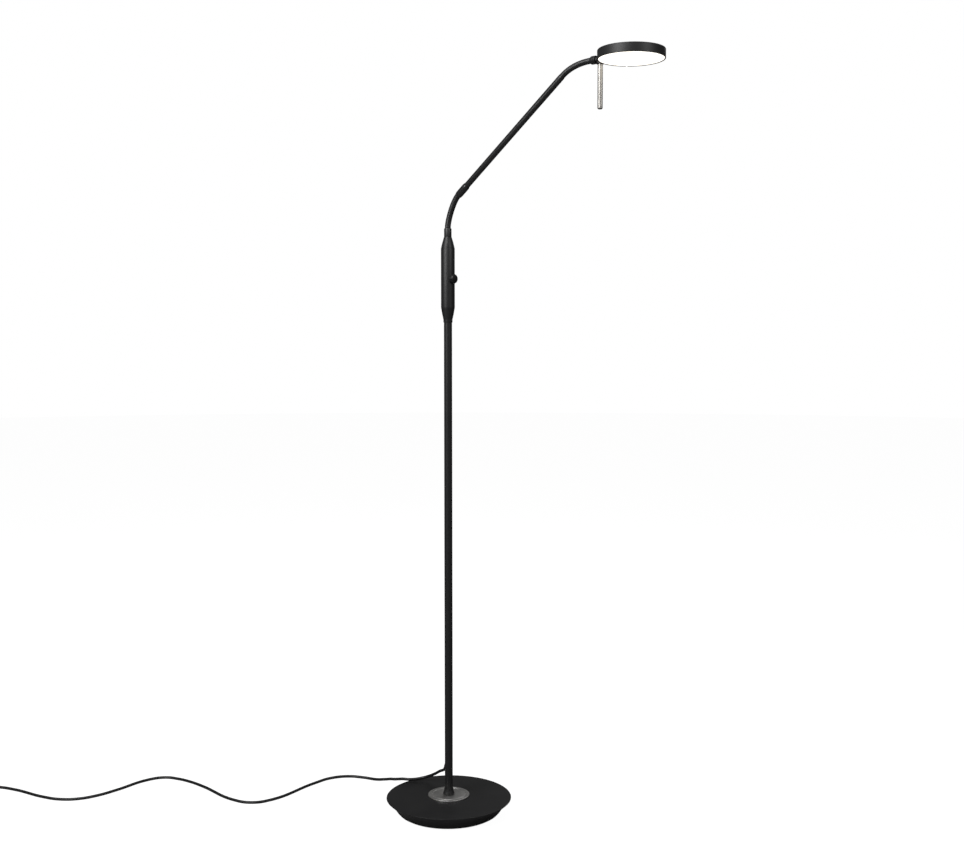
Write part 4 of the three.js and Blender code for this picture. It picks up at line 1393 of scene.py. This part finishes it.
TAIL_ROUTE: list[tuple[float, float, float]] = [
    (-0.9691, 0.1085, 0.0080),
    (-0.9692, 0.0995, 0.0062),
    (-0.970, 0.089, 0.0064),
    (-0.9694, 0.078, 0.0068),
    (-0.969, 0.0673, 0.0068),
]


@dataclass
class MainsLead(Assembly):
    """The lead in slow waves along the floor, its neat coil, the tie and the plug."""

    exit: LeadExit = field(default_factory=LeadExit)
    radius: float = 0.0027
    coil_centre: tuple[float, float] = (-0.936, 0.118)
    layers: tuple[float, float] = (0.02715, 0.03285)  # radius of the inner and the outer turns
    heights: tuple[float, float] = (FLOOR, 0.00855)  # of the bottom and the top turns
    points_per_turn: int = 24
    plug_size: tuple[float, float, float] = (0.0355, 0.034, 0.0136)
    plug_centre: tuple[float, float] = (-0.969, 0.050)
    prong_radius: float = 0.002
    prong_length: float = 0.019
    prong_root: float = 0.0067
    prong_spacing: float = 0.018
    prong_sleeve: float = 0.010
    prong_nose: float = 0.0014
    sleeve_step: float = 0.00012
    coil_turns: tuple[float, float] = (90, 1260)  # degrees where the coil starts and ends
    coil_move: float = 45  # degrees that a move between turns takes
    first_run: float = 0.006  # straight out of the strain relief
    length: float = 1.86

    def coil_points(self) -> list[Vector]:
        """Returns the coil's points: outside turn, inside turn, and back out on top.

        The lead moves from one turn to the next over an eighth of a turn, each time at its own
        place round the coil, so that no two turns share a place.
        """
        inner, outer = self.layers
        bottom, top = self.heights
        moves = [  # degrees where a move starts, the radius and the height before and after it
            (405, (outer, bottom), (inner, bottom)),
            (720, (inner, bottom), (inner, top)),
            (1035, (inner, top), (outer, top)),
        ]
        points = []
        first, last = self.coil_turns
        count = round((last - first) / 360 * self.points_per_turn)
        for i in range(count + 1):
            turn = first + (last - first) * i / count
            radius, height = outer, bottom
            for start, (r0, z0), (r1, z1) in moves:
                share = min(1.0, max(0.0, (turn - start) / self.coil_move))
                ease = share * share * (3 - 2 * share)
                if share > 0:
                    radius, height = r0 + (r1 - r0) * ease, z0 + (z1 - z0) * ease
            a = math.radians(turn)
            x, y = self.coil_centre
            points.append(Vector((x + radius * math.cos(a), y + radius * math.sin(a), height)))
        return points

    def lay(self, plug: Iterable[Piece]) -> None:
        """Args:
            plug: The separate pieces on it; not used.
        """
        start = self.exit.exit
        points = [start, start + self.exit.direction * self.first_run, *map(Vector, LEAD_ROUTE)]
        points += self.coil_points() + [Vector(p) for p in TAIL_ROUTE]
        data = bpy.data.curves.new("mains_lead", "CURVE")
        data.dimensions = "3D"
        data.resolution_u = 10
        data.bevel_depth = self.radius
        data.bevel_resolution = 5
        data.use_fill_caps = True
        spline = data.splines.new("BEZIER")
        spline.bezier_points.add(len(points) - 1)
        for point, place in zip(spline.bezier_points, points):
            point.co = place
            point.handle_left_type = point.handle_right_type = "AUTO"
        obj = bpy.data.objects.new("mains_lead", data)
        bpy.context.scene.collection.objects.link(obj)
        self.shop.paint(obj, Slot.CORD)
        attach(obj, "stand")
        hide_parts("cord_lead", "cord_coil", "cord_tail")
        log.info("mains_lead: %d points, %.2f m", len(points), self.length)

    def tie(self) -> Piece:
        """Builds the strap round the wound turns, with its small lock, and returns it."""
        low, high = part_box("cord_tie")
        width, depth, height = high - low
        x, y, z = (low + high) / 2
        obj = block("lead_tie", (width, depth, height), (x, y, z))
        bpy.ops.object.mode_set(mode="EDIT")
        select_faces(obj, lambda face: abs(face.normal.x) > SQUARE_ON)
        bpy.ops.mesh.delete(type="FACE")
        bpy.ops.object.mode_set(mode="OBJECT")
        ease_edges(obj, 0.003, 4, 60)
        modify(obj, "SOLIDIFY", thickness=0.0011, offset=-1)
        ease_edges(obj, 0.00025, 2, 50)
        lock = block("lock", (width + 0.0014, 0.0042, 0.0034), (x, low.y + 0.0003, z - 0.001))
        ease_edges(lock, 0.0006, 2)
        unite(obj, lock)
        return self.fit(obj, Slot.PLASTIC, "stand", "cord_tie", over=40)

    def plug(self) -> Piece:
        """Builds the flat moulded plug body with its grips, and returns it."""
        width, length, height = self.plug_size
        x, y = self.plug_centre
        obj = block("plug_moulding", self.plug_size, (x, y, height / 2))
        bpy.ops.object.mode_set(mode="EDIT")
        bpy.ops.mesh.select_all(action="SELECT")
        bpy.ops.mesh.subdivide(number_cuts=11)
        bpy.ops.object.mode_set(mode="OBJECT")
        rows = sorted({round(v.co.y, 5) for v in obj.data.vertices})
        for row in rows:
            share = (row - (y - length / 2)) / length
            waist = 0.72 * max(0.0, (share - 0.5) / 0.5) ** 1.6
            narrow = 1 - waist - 0.16 * max(0.0, (0.12 - share) / 0.12) ** 2
            flat = 1 - 0.3 * max(0.0, (share - 0.55) / 0.45) ** 1.4
            bpy.ops.object.mode_set(mode="EDIT")
            bpy.ops.mesh.select_all(action="DESELECT")
            bpy.ops.object.mode_set(mode="OBJECT")
            for v in obj.data.vertices:
                v.select = abs(v.co.y - row) < 1e-4
            bpy.ops.object.mode_set(mode="EDIT")
            bpy.ops.transform.resize(
                value=(narrow, 1, flat), center_override=(x, row, height / 2)
            )
        for side in (1, -1):
            for i in range(3):
                low = y - length * 0.12 + i * length / 6
                select_faces(
                    obj,
                    lambda face: side * face.normal.z > 0.8
                    and low < face.center.y < low + length / 12
                    and abs(face.center.x - x) < width * 0.24,
                )
                bpy.ops.mesh.inset(thickness=0.0004, depth=-0.0007)
        bpy.ops.object.mode_set(mode="OBJECT")
        ease_edges(obj, 0.0022, 3, 50)
        modify(obj, "SUBSURF", levels=1, render_levels=1)
        for side in (-1, 1):
            hole = bar("prong_hole", self.prong_radius + GAP, -self.prong_root - GAP, 0.003, 40)
            cut(obj, aim(hole, TOWARDS_PRONGS, self.prong_face(side)))
        return self.fit(obj, Slot.PLASTIC, "stand", "plug_body", over=40)

    def prong_face(self, side: int) -> Vector:
        """Returns where a prong's axis leaves the plug's face."""
        x, y = self.plug_centre
        _, length, height = self.plug_size
        return Vector((x + side * self.prong_spacing / 2, y - length / 2, height / 2))

    def prong(self, side: int, number: int) -> Piece:
        """Builds a round prong with its insulating sleeve, and returns it."""
        radius, end, sleeve = self.prong_radius, self.prong_length, self.prong_sleeve
        bare, nose = radius - self.sleeve_step, self.prong_nose
        outline = [(0, -self.prong_root), (radius, -self.prong_root), (radius, sleeve)]
        outline += [(bare, sleeve + 0.0002), (bare, end - nose)]
        for i in range(1, 6):
            turn = QUARTER_TURN * i / 5
            outline.append((bare * math.cos(turn), end - nose + nose * math.sin(turn)))
        outline[-1] = (0, end)
        obj = lathe(f"plug_prong_{number}", outline, 40)
        aim(obj, TOWARDS_PRONGS, self.prong_face(side))
        self.fit(obj, Slot.PIN, "stand", f"plug_pin_{number}", over=40)
        obj.data.materials.append(self.shop.finishes[Slot.PLASTIC])
        face = self.prong_face(side).y
        for polygon in obj.data.polygons:
            polygon.material_index = int(polygon.center.y > face - sleeve)
        return obj

    def plug_boot(self) -> Piece:
        """Builds the ribbed boot at the plug's back, and returns it."""
        length, root, tip, ribs = 0.021, 0.0046, 0.0034, 5
        outline = [(0, 0), (root, 0)]
        for i in range(ribs):
            at = length * (i + 0.7) / (ribs + 0.6)
            radius = root + (tip - root) * at / length
            outline += [(radius, at - 0.0009), (radius - 0.0005, at - 0.0006)]
            outline += [(radius - 0.0005, at + 0.0006), (radius, at + 0.0009)]
        outline += [(tip, length - 0.0003), (tip - 0.0003, length), (0, length)]
        end = Vector(TAIL_ROUTE[-1])
        back = Vector(TAIL_ROUTE[-3])
        seat = end - Vector((0, 0.0015, 0))
        obj = aim(lathe("plug_boot", outline, 36), (back - end).normalized(), seat)
        return self.fit(obj, Slot.PLASTIC, "stand", over=34)

    def build(self) -> None:
        """Builds the plug and the tie, then lays the lead."""
        prongs = [self.prong(side, number) for number, side in ((1, -1), (2, 1))]
        self.lay([self.plug(), self.plug_boot(), *prongs, self.tie()])


# ---- Studio ----


@dataclass
class Studio:
    """The camera, the pale floor and the soft lights."""

    eye: tuple[float, float, float] = (0, -2.277, 0.8591)
    pitch: float = 86.0  # degrees up from straight down
    yaw: float = -1.54
    lens: float = 47.09
    floor_radius: float = 14
    floor_colour: Colour = (0.22, 0.22, 0.22)
    floor_glow: float = 0.96
    sky_light: float = 0.10  # how much of its white the sky sheds on the lamp

    def camera(self) -> None:
        """Sets up the camera in front of the lamp."""
        data = bpy.data.cameras.new("camera")
        data.lens, data.sensor_width = self.lens, 36
        data.clip_start, data.clip_end = 0.05, 100
        obj = bpy.data.objects.new("camera", data)
        obj.location = self.eye
        obj.rotation_euler = (math.radians(self.pitch), 0, math.radians(self.yaw))
        bpy.context.scene.collection.objects.link(obj)
        bpy.context.scene.camera = obj

    def floor(self) -> None:
        """Lays a pale round floor."""
        clear_bench()
        bpy.ops.mesh.primitive_circle_add(
            vertices=96, radius=self.floor_radius, fill_type="NGON", location=(0, 0, 0)
        )
        obj = bpy.context.object
        obj.name = obj.data.name = "studio_floor"
        recipe = Recipe("studio_floor")
        recipe.set(Roughness=0.9, Specular_IOR_Level=0.1)
        recipe.set(Base_Color=(*self.floor_colour, 1), Emission_Color=(1, 1, 1, 1))
        glow = self.seen_only(recipe.tree, 0, self.floor_glow)
        recipe.link(glow, recipe.shader.inputs["Emission Strength"])
        obj.data.materials.append(recipe.material)

    def softbox(
        self, name: str, place: Sequence[float], target: Sequence[float],
        size: tuple[float, float], power: float,
    ) -> None:
        """Hangs a soft area light.

        Args:
            name: Its name.
            place: Where it is.
            target: What it looks at.
            size: Its width and height.
            power: Its power in watts.
        """
        data = bpy.data.lights.new(name, "AREA")
        data.shape, data.size, data.size_y = "RECTANGLE", *size
        data.energy = power
        obj = bpy.data.objects.new(name, data)
        obj.location = place
        obj.rotation_euler = (Vector(target) - Vector(place)).to_track_quat("-Z", "Y").to_euler()
        bpy.context.scene.collection.objects.link(obj)

    @staticmethod
    def seen_only(tree: bpy.types.NodeTree, shed: float, shown: float) -> Socket:
        """Tells what a white surround shows from what it sheds on the lamp.

        Args:
            tree: The node tree to work in.
            shed: The strength that lights the lamp.
            shown: The strength that is seen.

        Returns:
            The strength.
        """
        rays = tree.nodes.new("ShaderNodeLightPath")
        level = tree.nodes.new("ShaderNodeMapRange")
        level.inputs["To Min"].default_value = shed
        level.inputs["To Max"].default_value = shown
        tree.links.new(rays.outputs["Is Camera Ray"], level.inputs["Value"])
        return level.outputs["Result"]

    def sky(self) -> None:
        """Surrounds the lamp with white, which lights it less than it shows."""
        world = bpy.data.worlds.new("studio_white")
        bpy.context.scene.world = world
        world.use_nodes = True
        back = world.node_tree.nodes["Background"]
        back.inputs["Color"].default_value = (1, 1, 1, 1)
        strength = self.seen_only(world.node_tree, self.sky_light, 1.0)
        world.node_tree.links.new(strength, back.inputs["Strength"])

    def build(self) -> None:
        """Sets up the floor, the sky and the lights."""
        self.floor()
        self.sky()
        self.softbox("key", (-1.6, -1.6, 1.75), (0, 0, 1.1), (0.9, 1.1), 30)
        self.softbox("fill", (1.7, -1.7, 2.0), (0.1, 0, 1.1), (0.8, 1.0), 15)
        self.softbox("top", (-0.9, -1.2, 2.6), (0.1, -0.1, 1.1), (1.2, 1.2), 34)
        self.softbox("back", (1.3, 2.1, 2.5), (0, 0, 0.9), (1.0, 1.0), 6)
        bpy.context.scene.view_settings.view_transform = "Standard"


def main() -> None:
    """Builds the lamp, sub-assembly by sub-assembly."""
    studio = Studio()
    studio.camera()
    shop = Paintshop()
    line = ArmLine()
    lead_exit = LeadExit()
    MainsLead(shop, lead_exit).build()
    Base(shop).build()
    Pole(shop, lead_exit=lead_exit).build()
    DimmerBody(shop).build()
    Arm(shop, line).build()
    Head(shop, line).build()
    studio.build()
    clear_bench()


if __name__ == "__main__":
    main()
